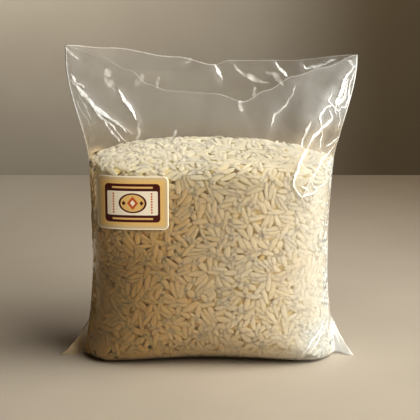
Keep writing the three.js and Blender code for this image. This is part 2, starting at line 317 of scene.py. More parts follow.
    def room(self, points: Array, heaped: bool = True) -> Array:
        """How far points lie inside the bag's outer face, the floor and the heap's top.

        The sides use g / |grad g| of g = 1 - |x / width|^power - (|y| / depth)^(1 / root), the lower
        edge the distance to its quarter circle, and the heap's shoulder a quarter circle too.

        Args:
            points: places in millimetres, n by 3.
            heaped: False to leave out the heap's top.

        Returns:
            The least of those distances for each point, negative outside.
        """
        x, y, z = points.T
        front = (y < 0).astype(float)
        power, root = self.section(x, z, front)
        width = self.half_width(x, z)
        across = np.abs(x) / width
        deep = np.abs(y) / self.body_half_depth
        g = 1 - across**power - deep ** (1 / root)
        slope_x = power * across ** (power - 1) / width
        slope_y = deep ** (1 / root - 1) / (root * self.body_half_depth)
        side = g / np.maximum(np.hypot(slope_x, slope_y), 0.02)
        full = self.section_depth(np.clip(x, -width, width), z, front)
        radius = self.edge_radius(x, full)
        out = np.maximum(np.abs(y) - (full - radius), 0)
        low = radius - np.hypot(out, np.maximum(radius - z, 0))
        low = np.where(z < radius, low, 1e3)
        floor = np.minimum(low, z)
        if not heaped:
            return np.minimum(side, floor)
        top = self.heap_height(x, np.clip(y / np.maximum(full, 1), -1, 1)) - z
        shoulder = np.maximum(self.heap_shoulder * full, 2.0)
        past = np.hypot(np.maximum(shoulder - side, 0), np.maximum(shoulder - top, 0))
        return np.minimum(np.minimum(side, floor), np.minimum(top, shoulder - past))


SHAPE = BagShape()


def make_mesh(name: str, points: Array, faces: list[Array]) -> bpy.types.Object:
    """Makes a smooth mesh object from arrays.

    Args:
        name: the piece's name.
        points: vertices in millimetres, n by 3.
        faces: arrays of vertex numbers, one row for each face.

    Returns:
        The object, at the origin, with its mesh in metres.
    """
    totals = np.concatenate([np.full(len(part), part.shape[1]) for part in faces])
    corners = np.concatenate([part.ravel() for part in faces]).astype(np.int32)
    starts = (np.cumsum(totals) - totals).astype(np.int32)
    mesh = bpy.data.meshes.new(name)
    mesh.vertices.add(len(points))
    mesh.vertices.foreach_set("co", (points * MM).astype(np.float32).ravel())
    mesh.loops.add(len(corners))
    mesh.loops.foreach_set("vertex_index", corners)
    mesh.polygons.add(len(totals))
    mesh.polygons.foreach_set("loop_start", starts)
    mesh.update(calc_edges=True)
    mesh.validate()
    mesh.polygons.foreach_set("use_smooth", np.ones(len(mesh.polygons), dtype=bool))
    piece = bpy.data.objects.new(name, mesh)
    bpy.context.scene.collection.objects.link(piece)
    return piece


def add_attribute(piece: bpy.types.Object, name: str, values: Array) -> None:
    """Gives every vertex of a piece a number under a name that its material reads."""
    attribute = piece.data.attributes.new(name, "FLOAT", "POINT")
    attribute.data.foreach_set("value", values.astype(np.float32).ravel())


def ring_faces(rows: int, count: int) -> Array:
    """Returns the quads of rows of a closed ring, facing outwards when they run upwards."""
    row, column = np.meshgrid(np.arange(rows - 1), np.arange(count), indexing="ij")
    here, beside = row * count + column, row * count + (column + 1) % count
    return np.stack([here, beside, beside + count, here + count], axis=-1).reshape(-1, 4)


def tube_faces(rings: int, sides: int) -> list[Array]:
    """Faces of a tube with a point at each end.

    Args:
        rings: rings between the two end points.
        sides: points of a ring, which turn right-handed about the way the tube runs.

    Returns:
        The quads, and the triangles at the start and at the end.
    """
    side = np.arange(sides)
    beside = (side + 1) % sides
    last = 1 + (rings - 1) * sides
    start = np.stack([np.zeros_like(side), 1 + beside, 1 + side], axis=-1)
    end = np.stack([last + side, last + beside, np.full_like(side, last + sides)], axis=-1)
    return [ring_faces(rings, sides) + 1, start, end]


def cap_faces(start: int, columns: int, upward: bool) -> list[Array]:
    """Closes a ring of 2 * columns points with strips from its front to its back.

    Args:
        start: the ring's first vertex, at its left end.
        columns: columns of each panel.
        upward: True for a face that looks up.

    Returns:
        The quads, and the triangles at the two ends.
    """
    count = 2 * columns
    column = np.arange(1, columns - 1)
    front, back = start + column, start + count - column
    quads = np.stack([front, front + 1, back - 1, back], axis=-1)
    left = [start, start + 1, start + count - 1]
    right = [start + columns - 1, start + columns, start + columns + 1]
    triangles = np.array([left, right])
    if not upward:
        quads, triangles = quads[:, ::-1], triangles[:, ::-1]
    return [quads, triangles]


def ring_places(columns: int, crowding: float) -> tuple[Array, Array]:
    """Places round a section, the front from left to right and then the back.

    Args:
        columns: columns of each panel.
        crowding: 0 for even columns, 1 for a sine that crowds them near the sides.

    Returns:
        The place across of each point, and 1 where it is on the front.
    """
    t = np.linspace(-1, 1, columns + 1)
    across = mix(t, np.sin(t * math.pi / 2), crowding)
    ring = np.concatenate([across, across[-2:0:-1]])
    front = np.concatenate([np.ones(columns + 1), np.zeros(columns - 1)])
    return ring, front


class Graph:
    """A material's nodes, made by one method and joined by arithmetic."""

    def __init__(self, name: str) -> None:
        """Makes an empty material with an output."""
        self.material = bpy.data.materials.new(name)
        self.material.use_nodes = True
        self.tree = self.material.node_tree
        self.tree.nodes.clear()
        self.output = self.tree.nodes.new("ShaderNodeOutputMaterial")

    def node(self, kind: str, settings: dict[str, Any] | None = None, **sockets: Any) -> bpy.types.Node:
        """Adds a node.

        Args:
            kind: the node's type without "ShaderNode".
            settings: the node's own properties, set first.
            sockets: inputs by name, with spaces as underscores, each a value or a Signal.

        Returns:
            The node.
        """
        made = self.tree.nodes.new("ShaderNode" + kind)
        for name, value in (settings or {}).items():
            setattr(made, name, value)
        for name, value in sockets.items():
            self.feed(made.inputs[name.replace("_", " ")], value)
        return made

    def feed(self, socket: bpy.types.NodeSocket, value: Any) -> None:
        """Links a Signal to a socket, or sets a value on it."""
        if isinstance(value, Signal):
            self.tree.links.new(value.socket, socket)
        elif isinstance(value, (tuple, list)) and len(value) == 3 and socket.type == "RGBA":
            socket.default_value = (*value, 1.0)
        else:
            socket.default_value = value

    def signal(self, kind: str, output: str | int = 0, settings: dict[str, Any] | None = None,
               **sockets: Any) -> "Signal":
        """Adds a node and returns one of its outputs."""
        return Signal(self, self.node(kind, settings, **sockets).outputs[output])

    def attribute(self, name: str) -> "Signal":
        """Returns a number that the mesh carries."""
        return self.signal("Attribute", "Fac", {"attribute_name": name})

    def place(self) -> "Signal":
        """Returns the place on the object, in metres."""
        return self.signal("TexCoord", "Object")

    def blend(self, factor: Any, first: Any, second: Any) -> "Signal":
        """Returns the mix of two colours."""
        made = self.node("Mix", {"data_type": "RGBA"})
        self.feed(made.inputs["Factor"], factor)
        self.feed(made.inputs[6], first)
        self.feed(made.inputs[7], second)
        return Signal(self, made.outputs[2])

    def noise(self, place: "Signal", size: float, detail: float = 3.0, rough: float = 0.5) -> "Signal":
        """Returns noise from about 0 to 1 whose lumps are about size metres across."""
        return self.signal("TexNoise", "Fac", None, Vector=place, Scale=1 / size, Detail=detail,
                           Roughness=rough)

    def stretched(self, place: "Signal", scale: tuple[float, float, float]) -> "Signal":
        """Returns a place multiplied along each axis."""
        return self.vector("MULTIPLY", place, scale)

    def parts(self, vector: "Signal") -> list["Signal"]:
        """Returns a vector's three numbers."""
        made = self.node("SeparateXYZ", None, Vector=vector)
        return [Signal(self, output) for output in made.outputs]

    def scaled(self, colour: "Signal", factor: "Signal") -> "Signal":
        """Returns a colour times a number that changes over the surface."""
        made = self.node("VectorMath", {"operation": "SCALE"}, Scale=factor)
        self.feed(made.inputs[0], colour)
        return Signal(self, made.outputs[0])

    def vector(self, operation: str, first: "Signal", second: Any) -> "Signal":
        """Returns a Vector Math node's result."""
        made = self.node("VectorMath", {"operation": operation})
        self.feed(made.inputs[0], first)
        self.feed(made.inputs[1], second)
        return Signal(self, made.outputs[0])

    def bump(self, height: "Signal", distance: float, strength: float = 1.0) -> "Signal":
        """Returns a normal for a height from 0 to 1 over a distance in metres."""
        return self.signal("Bump", "Normal", None, Height=height, Distance=distance, Strength=strength)

    def over(self, factor: "Signal", below: bpy.types.NodeSocket,
             above: bpy.types.NodeSocket) -> bpy.types.NodeSocket:
        """Returns one shader over another, showing by a factor."""
        made = self.node("MixShader", None, Fac=factor)
        self.tree.links.new(below, made.inputs[1])
        self.tree.links.new(above, made.inputs[2])
        return made.outputs[0]

    def surface(self, shader: bpy.types.NodeSocket) -> bpy.types.Material:
        """Sets the material's surface and returns the material."""
        self.tree.links.new(shader, self.output.inputs["Surface"])
        return self.material


class Signal:
    """A socket that carries a number, with arithmetic that adds Math nodes."""

    def __init__(self, graph: Graph, socket: bpy.types.NodeSocket) -> None:
        """Wraps a node's output."""
        self.graph = graph
        self.socket = socket

    def math(self, operation: str, *values: Any) -> "Signal":
        """Returns a Math node's result on these values."""
        made = self.graph.node("Math", {"operation": operation})
        for socket, value in zip(made.inputs, values):
            self.graph.feed(socket, value)
        return Signal(self.graph, made.outputs[0])

    def __add__(self, other: Any) -> "Signal":
        """Returns the sum."""
        return self.math("ADD", self, other)

    __radd__ = __add__

    def __mul__(self, other: Any) -> "Signal":
        """Returns the product."""
        return self.math("MULTIPLY", self, other)

    __rmul__ = __mul__

    def __sub__(self, other: Any) -> "Signal":
        """Returns the difference."""
        return self.math("SUBTRACT", self, other)

    def __rsub__(self, other: Any) -> "Signal":
        """Returns the reflected difference."""
        return self.math("SUBTRACT", other, self)

    def __truediv__(self, other: Any) -> "Signal":
        """Returns the quotient."""
        return self.math("DIVIDE", self, other)

    def __pow__(self, other: Any) -> "Signal":
        """Returns the power."""
        return self.math("POWER", self, other)

    def __abs__(self) -> "Signal":
        """Returns the size without its sign."""
        return self.math("ABSOLUTE", self)

    def least(self, other: Any) -> "Signal":
        """Returns the lesser of the two."""
        return self.math("MINIMUM", self, other)

    def most(self, other: Any) -> "Signal":
        """Returns the greater of the two."""
        return self.math("MAXIMUM", self, other)

    def root(self) -> "Signal":
        """Returns the square root."""
        return self.math("SQRT", self)

    def ramp(self, start: float, end: float) -> "Signal":
        """Returns 0 before start and 1 after end, eased between them."""
        made = self.graph.node("MapRange", {"interpolation_type": "SMOOTHSTEP"}, Value=self)
        for name, value in (("From Min", start), ("From Max", end)):
            made.inputs[name].default_value = value
        return Signal(self.graph, made.outputs[0])


@dataclass(frozen=True)
class FilmFinish:
    """Clear plastic film: a soft mirror over thin milk over what is behind it."""

    facing_gloss: float = 0.035
    roughness: float = 0.16
    # Cool colour of the milk above the rice and on the right: partly the film's own milk, partly a painted
    # reflection of a cool light.
    cool_milk_and_sheen: tuple[float, float, float] = (0.90, 0.95, 1.0)
    # Warm colour of the milk over the rice: partly dust, partly painted sheen.
    dust_and_warm_sheen: tuple[float, float, float] = (1.0, 0.83, 0.56)
    cool_milk_heights: tuple[float, float] = (0.09, 0.106)
    cool_milk_places: tuple[float, float] = (0.022, 0.048)
    corner_heights: tuple[float, float] = (0.014, 0.022)
    cool_milk_right: float = 0.5
    cool_milk_corner: float = 0.3
    wrinkle_size: float = 0.005
    patch_size: float = 0.012
    least_milk: float = 0.5
    # Strength of the film's painted glow.
    painted_glow_strength: float = 0.45

    def material(self) -> bpy.types.Material:
        """Mixes clear with milk by haze, then with mirror by gloss * (f + (1 - f) * facing^5).

        The milk, partly dust and partly painted sheen, turns from warm to cool with height and to the
        right, where the cool colour is partly a painted reflection of a cool light; it has a painted glow
        that stands in for light carried through the film.

        Returns:
            The film's material.
        """
        graph = Graph("clear_film")
        place = graph.place()
        haze = graph.attribute("haze")
        wrinkle = graph.noise(graph.stretched(place, (1.0, 1.0, 0.45)), self.wrinkle_size)
        normal = graph.bump(wrinkle, 0.0004, 0.35)
        weight = graph.node("LayerWeight", None, Blend=0.5, Normal=normal)
        facing = Signal(graph, weight.outputs["Facing"])
        gloss = ((facing**5) * (1 - self.facing_gloss) + self.facing_gloss) * graph.attribute("gloss")
        patches = graph.noise(place, self.patch_size).ramp(0.3, 0.7)
        milk = haze * (patches * (1 - self.least_milk) + self.least_milk)
        x, _, z = graph.parts(place)
        # The milk turns cool above the rice and on the right, a painted reflection; below it stays warm,
        # dust and painted sheen.
        low = 1 - z.ramp(*self.corner_heights)
        beside = x.ramp(*self.cool_milk_places) * (low * self.cool_milk_corner + self.cool_milk_right)
        cool_milk_and_sheen = z.ramp(*self.cool_milk_heights).most(beside)
        colour = graph.blend(cool_milk_and_sheen, self.dust_and_warm_sheen, self.cool_milk_and_sheen)
        # Painted glow: emission that stands in for light carried through the film.
        led = graph.blend(graph.attribute("led"), (0.0, 0.0, 0.0), colour)
        clear = graph.node("BsdfTransparent")
        milky = graph.node("BsdfPrincipled", None, Base_Color=colour, Roughness=0.6,
                           Emission_Color=led, Emission_Strength=self.painted_glow_strength)
        mirror = graph.node("BsdfPrincipled", None, Base_Color=(1.0, 1.0, 1.0), Metallic=1.0,
                            Roughness=self.roughness, Normal=normal)
        under = graph.over(milk.least(1.0), clear.outputs[0], milky.outputs[0])
        return graph.surface(graph.over(gloss.least(1.0), under, mirror.outputs[0]))


@dataclass(frozen=True)
class FoldFinish:
    """Film whitened along a sharp fold, fading to clear at the fold's edges; the white is partly real
    whitening and partly painted glints.
    """

    colour: tuple[float, float, float] = (0.95, 0.96, 0.95)
    metallic: float = 0.15
    roughness: float = 0.3
    glow: float = 0.25

    def material(self) -> bpy.types.Material:
        """Mixes clear with white, which has a painted glow, by strength."""
        graph = Graph("whitened_fold")
        strength = graph.attribute("strength")
        broken = graph.noise(graph.place(), 0.0016, 2.0).ramp(0.2, 0.6) * 0.5 + 0.5
        # The emission is a painted glow that stands in for light carried through the film.
        white = graph.node("BsdfPrincipled", None, Base_Color=self.colour, Metallic=self.metallic,
                           Roughness=self.roughness, Emission_Color=self.colour,
                           Emission_Strength=self.glow)
        clear = graph.node("BsdfTransparent")
        return graph.surface(graph.over((strength * broken).least(1.0), clear.outputs[0], white.outputs[0]))


@dataclass(frozen=True)
class RiceFinish:
    """Dry white rice: ivory grains, each a little different, chalkier in the middle."""

    pale: tuple[float, float, float] = (0.87, 0.81, 0.66)
    deep: tuple[float, float, float] = (0.84, 0.765, 0.59)
    chalk: tuple[float, float, float] = (0.89, 0.85, 0.74)
    # Lighter colour of the heap's top: painted light.
    painted_top_light: tuple[float, float, float] = (0.885, 0.84, 0.69)
    # Warm, darker colour of the left, away from the light: painted shade.
    painted_shade_colour: tuple[float, float, float] = (0.76, 0.56, 0.305)
    # Dimmer, cooler tint of the lit right: painted light.
    lit: tuple[float, float, float] = (0.73, 0.83, 0.985)
    # Warm, darker tint deep in the gaps under the film: painted shade.
    painted_gap_shade: tuple[float, float, float] = (0.97, 0.78, 0.38)
    # Colours of the painted glow, warm in the shade and paler where lit.
    painted_glow_amber: tuple[float, float, float] = (0.9, 0.62, 0.3)
    painted_glow_pale: tuple[float, float, float] = (1.0, 0.92, 0.55)
    # Dimmer tint at the top right: painted shade.
    high: tuple[float, float, float] = (0.84, 0.875, 0.89)
    # Strength of the rice's painted glow.
    painted_glow_strength: float = 0.2

    def material(self) -> bpy.types.Material:
        """Blends the colours by each grain's tone and paints light and shade in: a lighter top, warm shade
        on the left and in the gaps, a dimmer cooler lit right, a dimmer top right and a painted glow.
        """
        graph = Graph("white_rice")
        tone, along = graph.attribute("tone"), graph.attribute("along")
        colour = graph.blend(tone, self.deep, self.pale)
        chalky = (1 - abs(along)).ramp(0.2, 0.9) * (tone * 1.7 - 0.7).most(0)
        speck = graph.noise(graph.place(), 0.0009, 2.0)
        colour = graph.blend(chalky * speck, colour, self.chalk)
        # Painted light: the heap's top is lighter.
        colour = graph.blend(graph.attribute("painted_top_light"), colour, self.painted_top_light)
        # Painted shade on the left and in the gaps, a painted dim cool tint on the lit right and painted
        # shade at the top right.
        for name, tint in (("shade", self.painted_shade_colour), ("lit", self.lit), ("painted_gap_shade", self.painted_gap_shade),
                           ("high", self.high)):
            tinted = graph.blend(graph.attribute(name), (1.0, 1.0, 1.0), tint)
            colour = graph.vector("MULTIPLY", colour, tinted)
        normal = graph.bump(speck, 0.00008, 0.4)
        # Painted glow that stands in for light carried through the heap.
        bright = graph.attribute("lit").most(graph.attribute("painted_top_light"))
        led = graph.blend(bright, self.painted_glow_amber, self.painted_glow_pale)
        led = graph.blend(graph.attribute("led"), (0.0, 0.0, 0.0), led)
        made = graph.node("BsdfPrincipled", None, Base_Color=colour, Roughness=speck * 0.2 + 0.42,
                          Normal=normal, Specular_IOR_Level=0.06, Subsurface_Weight=0.8,
                          Subsurface_Scale=0.0016, Emission_Color=led,
                          Emission_Strength=self.painted_glow_strength)
        made.inputs["Subsurface Radius"].default_value = (1.0, 0.95, 0.85)
        return graph.surface(made.outputs[0])


@dataclass(frozen=True)
class CoreFinish:
    """Rice deep in the heap, coloured warmer and darker than the grains: painted shade."""

    # Painted shade: warmer and darker than the grains.
    colour: tuple[float, float, float] = (0.90, 0.70, 0.40)

    def material(self) -> bpy.types.Material:
        """Mottles one warm, dark colour, a painted shade, at a grain's scale."""
        graph = Graph("deep_rice")
        lumps = graph.noise(graph.stretched(graph.place(), (1.0, 1.0, 0.6)), 0.003, 3.0)
        dark = tuple(0.75 * channel for channel in self.colour)
        colour = graph.blend(lumps.ramp(0.35, 0.7), dark, self.colour)
        made = graph.node("BsdfPrincipled", None, Base_Color=colour, Roughness=lumps * 0.2 + 0.6,
                          Normal=graph.bump(lumps, 0.0008))
        return graph.surface(made.outputs[0])


@dataclass(frozen=True)
class StickerFinish:
    """Print on coated paper: a framed window, an oval, lozenges, bars and studs, in millimetres."""

    cream: tuple[float, float, float] = (1.0, 0.95, 0.82)
    gold: tuple[float, float, float] = (0.86, 0.62, 0.27)
    tan: tuple[float, float, float] = (0.74, 0.61, 0.39)
    maroon: tuple[float, float, float] = (0.10, 0.012, 0.010)
    orange: tuple[float, float, float] = (0.62, 0.13, 0.03)
    border: float = 0.5
    frame_inset: tuple[float, float] = (3.4, 3.1)
    frame_corner: float = 1.5
    window_inset: tuple[float, float] = (4.3, 6.0)
    window_corner: float = 0.6
    lozenge_slant: float = 0.8
    oval: tuple[float, float] = (5.6, 4.1)
    oval_line: float = 0.55
    lozenge: float = 2.2
    small_lozenge: float = 0.8
    small_lozenge_place: float = 3.6
    bar_place: float = 6.45
    bar_half: tuple[float, float] = (8.2, 0.4)
    stud_place: float = 7.7
    stud_step: float = 1.1
    stud_radius: float = 0.36
    stud_reach: float = 4.4

    @staticmethod
    def box(u: Signal, v: Signal, half_u: float, half_v: float, corner: float) -> Signal:
        """Distance to a round-cornered rectangle in millimetres, negative inside."""
        out_u, out_v = abs(u) - (half_u - corner), abs(v) - (half_v - corner)
        outside = ((out_u.most(0) ** 2) + (out_v.most(0) ** 2)).root()
        return outside + out_u.most(out_v).least(0) - corner

    @staticmethod
    def inside(distance: Signal, soft: float = 0.06) -> Signal:
        """Returns 1 where a distance is negative, with a soft edge in millimetres."""
        return 1 - distance.ramp(-soft, soft)

    def material(self, place: StickerPlace) -> bpy.types.Material:
        """Lays the printed fields over each other, from the paper up.

        Args:
            place: the sticker's sizes.

        Returns:
            The print's material.
        """
        graph = Graph("printed_paper")
        u, v, _ = graph.parts(graph.signal("UVMap"))
        half_u, half_v = place.half_width, place.half_height
        fibre = graph.noise(graph.place(), 0.0007, 4.0)
        field_box = self.box(u, v, half_u - self.border, half_v - self.border,
                             place.corner - self.border)
        gold = graph.blend((0 - field_box).ramp(0.6, 1.8), self.tan, self.gold)
        colour = graph.blend(self.inside(field_box), self.cream, gold)
        panel = self.box(u, v, half_u - self.frame_inset[0], half_v - self.frame_inset[1],
                         self.frame_corner)
        window = self.box(u, v, half_u - self.window_inset[0], half_v - self.window_inset[1],
                          self.window_corner)
        oval = (((u / self.oval[0]) ** 2 + (v / self.oval[1]) ** 2).root() - 1) * self.oval[1]
        slant = abs(v) * self.lozenge_slant
        middle = abs(u) + slant - self.lozenge
        beside = abs(abs(u) - self.small_lozenge_place) + slant - self.small_lozenge
        bars = (abs(abs(v) - self.bar_place) - self.bar_half[1]).most(abs(u) - self.bar_half[0])
        row = v.math("PINGPONG", v, self.stud_step) - self.stud_step / 2
        studs = ((abs(u) - self.stud_place) ** 2 + row**2).root() - self.stud_radius
        layers = (
            (panel, self.maroon), (window, self.cream), (oval, self.maroon),
            (oval + self.oval_line, self.gold), (beside, self.maroon), (middle, self.orange),
            (middle + self.lozenge / 2, self.cream), (bars, self.gold),
            (studs.most(abs(v) - self.stud_reach), self.orange),
        )
        for distance, ink in layers:
            colour = graph.blend(self.inside(distance), colour, ink)
        made = graph.node("BsdfPrincipled", None, Base_Color=colour, Roughness=fibre * 0.12 + 0.32,
                          Normal=graph.bump(fibre, 0.00004, 0.3))
        return graph.surface(made.outputs[0])


@dataclass(frozen=True)
class Crease:
    """A fold in the film, with its points across and up a panel in millimetres."""

    path: tuple[tuple[float, float], ...]
    height: float = 0.5
    width: float = 1.0
    shine: float = 0.8
    panel: Panel = Panel.FRONT
    spread: float = 1.3

    def distance(self, x: Array, z: Array) -> Array:
        """Measures how far places on the panel lie from the path.

        Args:
            x: places across.
            z: heights.

        Returns:
            The distance from each place to the nearest point of the path.
        """
        nearest = np.full(x.shape, 1e3)
        for (x0, z0), (x1, z1) in zip(self.path, self.path[1:]):
            dx, dz = x1 - x0, z1 - z0
            t = np.clip(((x - x0) * dx + (z - z0) * dz) / (dx * dx + dz * dz), 0, 1)
            nearest = np.minimum(nearest, np.hypot(x - x0 - t * dx, z - z0 - t * dz))
        return nearest

    def route(self, step: float, random: np.random.Generator) -> Array:
        """Carries a smooth line with a slight waver along the path.

        Args:
            step: distance between the line's points.
            random: the folds' random numbers.

        Returns:
            The line's points, n by 2.
        """
        path = np.array(self.path, dtype=float)
        length = np.concatenate([[0], np.cumsum(np.hypot(*np.diff(path, axis=0).T))])
        count = max(8, int(length[-1] / step))
        at = np.linspace(0, length[-1], count)
        line = np.stack([np.interp(at, length, path[:, axis]) for axis in (0, 1)], axis=-1)
        for _ in range(4):
            line[1:-1] = 0.5 * line[1:-1] + 0.25 * (line[:-2] + line[2:])
        phase = random.uniform(0, 2 * math.pi, 3)
        waver = sum(np.sin(at * pace + start) / pace for pace, start in zip((0.7, 1.5, 3.1), phase))
        side = unit(np.gradient(line, axis=0))[:, ::-1] * (1, -1)
        return line + 0.16 * waver[:, None] * side


LEFT_CREASES = (
    Crease(((-57.5, 118), (-53, 115.5), (-50.5, 112), (-46, 107.5), (-40, 104), (-36, 101), (-33, 98.5)),
           0.6, 1.5, 0.85, spread=1.8),
    Crease(((-49.5, 110.8), (-47, 108.6), (-44, 106), (-40.5, 103.6)), 0.3, 2.6, 1.1),
    Crease(((-47.6, 107.4), (-45, 105), (-42.6, 103)), 0.2, 1.5, 1.1),
    Crease(((-45, 104.8), (-41, 102.4), (-36, 97.4), (-33.4, 94.6)), 0.2, 0.9, 0.6),
    Crease(((-54.5, 116.5), (-52.5, 113.6), (-49.5, 111.6)), 0.2, 2.0, 1.1),
    Crease(((-57, 121), (-54.5, 117.5), (-52, 116.5), (-51, 115)), 0.5, 1.2, 0.7),
    Crease(((-53.5, 112.5), (-50.5, 107), (-47.5, 102)), 0.4, 0.7, 0.4),
    Crease(((-55.5, 111), (-52, 105), (-48, 99.5)), 0.4, 0.7, 0.3),
    Crease(((-44, 104.5), (-40, 99.5), (-36, 94.5)), 0.4, 1.5, 0.4),
    Crease(((-41, 103.5), (-36.5, 101.5), (-31, 98)), 0.3, 0.7, 0.35),
    Crease(((-37, 115.5), (-33.5, 110.5), (-29, 103.5)), 1.0, 1.8, 0.95, spread=1.6),
    Crease(((-28.5, 103), (-28.5, 99), (-29.5, 95.5)), 0.3, 1.6, 0.22),
    Crease(((-59, 132), (-56, 128.5), (-53.5, 126.5)), 0.4, 1.4, 0.35),
    Crease(((-42, 124), (-40.5, 120)), 0.3, 3.5, 0.2),
    Crease(((-27, 122.5), (-28, 119), (-30.5, 116.5)), 0.3, 3.0, 0.2),
    Crease(((-20.5, 121.5), (-21, 116)), 0.2, 1.6, 0.16),
    Crease(((-13.5, 100.5), (-14.5, 97.5)), 0.2, 1.8, 0.3),
    Crease(((12, 112), (12.5, 107)), 0.2, 3.0, 0.14),
)
RIGHT_CREASES = (
    Crease(((60, 125), (57.5, 121.5), (54.5, 118.5), (54, 114.5), (52, 110), (50.5, 109)), 0.25, 1.5, 1.0),
    Crease(((59, 122), (57.5, 117), (56.5, 112.5), (57, 109.5), (55.5, 106.5), (53.5, 107.5), (52, 105.5)),
           0.25, 1.25, 1.0),
    Crease(((56.5, 119), (55, 115.5), (53.5, 113.5), (52, 110.5), (52.5, 107)), 0.2, 1.8, 0.9),
    Crease(((53, 112), (51, 109.5), (50.5, 106.5), (51.5, 104)), 0.2, 1.3, 0.9),
    Crease(((56, 117.5), (55.5, 113), (53.5, 109.5), (51, 108)), 0.25, 2.0, 0.9),
    Crease(((50, 114), (48, 110.5), (49.5, 108.5), (52, 105.5), (53.5, 101.5), (52.5, 97.5)),
           0.25, 1.0, 0.9),
    Crease(((49.5, 108.5), (46.5, 107.5), (44.8, 104), (45, 99.5)), 0.25, 1.25, 1.0),
    Crease(((48.5, 106.5), (49.5, 103), (47.5, 100.8), (45, 99), (42, 96.8), (40.4, 94), (40, 92.5)),
           0.3, 1.35, 1.0),
    Crease(((45, 99), (45.6, 96), (44.6, 93.5), (44.2, 91)), 0.2, 0.95, 0.8),
    Crease(((41, 103), (39.6, 99), (37.4, 96), (36.8, 92)), 0.2, 1.4, 0.4),
    Crease(((40.4, 94), (38.2, 91), (36.6, 87), (34.6, 83), (33.6, 79), (34.6, 75.5), (37, 73)),
           0.3, 1.35, 1.0),
    Crease(((38.4, 91.5), (37.4, 88)), 0.2, 1.6, 0.5),
    Crease(((54.5, 95.5), (50.5, 93.6), (47, 91.5)), 0.2, 0.7, 0.6),
    Crease(((53.5, 94), (49.5, 90.5), (45.5, 86.5), (41.5, 81), (38.5, 76.5), (37, 73)), 0.3, 0.8, 0.7),
    Crease(((51.5, 85), (50, 80.5), (47, 77), (43.5, 76)), 0.2, 0.8, 0.55),
    Crease(((40.5, 79.5), (42, 76.5), (44, 75.5), (41.5, 74), (38, 73.5)), 0.2, 0.95, 0.8),
    Crease(((36.5, 77.5), (39, 76), (40, 74), (36.5, 73)), 0.2, 0.8, 0.8),
    Crease(((34, 117.5), (33.2, 113), (30.5, 109.5), (26, 105.5), (24.2, 101)), 0.25, 1.3, 0.3, spread=1.0),
    Crease(((57, 105), (55.5, 99), (54.5, 93)), 0.2, 1.2, 0.3),
    Crease(((38, 5), (42, 10), (46, 15), (49.5, 21)), 0.3, 1.0, 1.0),
    Crease(((40.5, 5), (45, 10), (49, 16), (50.5, 20)), 0.3, 0.7, 0.8),
    Crease(((54, 16), (53, 10), (56, 5)), 0.3, 1.4, 0.8),
)
BACK_CREASES = (
    Crease(((2, 123), (3.5, 120), (4, 118), (5.5, 115.5)), 0.8, 1.9, 0.9, Panel.BACK),
    Crease(((27.5, 124.5), (28, 122), (30, 120), (32.5, 118)), 0.5, 1.8, 0.5, Panel.BACK),
    Crease(((38.5, 123.5), (39.5, 121.5), (44, 122.5), (48, 124.5), (52, 126)), 0.7, 1.6, 0.9, Panel.BACK),
    Crease(((18.5, 113.5), (18.5, 108)), 0.4, 2.4, 0.25, Panel.BACK),
    Crease(((56, 126), (58, 125.5), (58.5, 123)), 0.4, 1.4, 0.8, Panel.BACK),
    Crease(((-7.5, 124.5), (-10.5, 122.5)), 0.4, 1.4, 0.2, Panel.BACK),
    Crease(((9.5, 123), (14, 118.5), (19, 116.5), (25, 114.5)), 0.4, 2.6, 0.22, Panel.BACK),
    Crease(((23, 120), (27, 118.5), (31, 114)), 0.3, 2.8, 0.2, Panel.BACK),
    Crease(((-44, 119), (-39, 112)), 0.3, 3.5, 0.14, Panel.BACK),
)


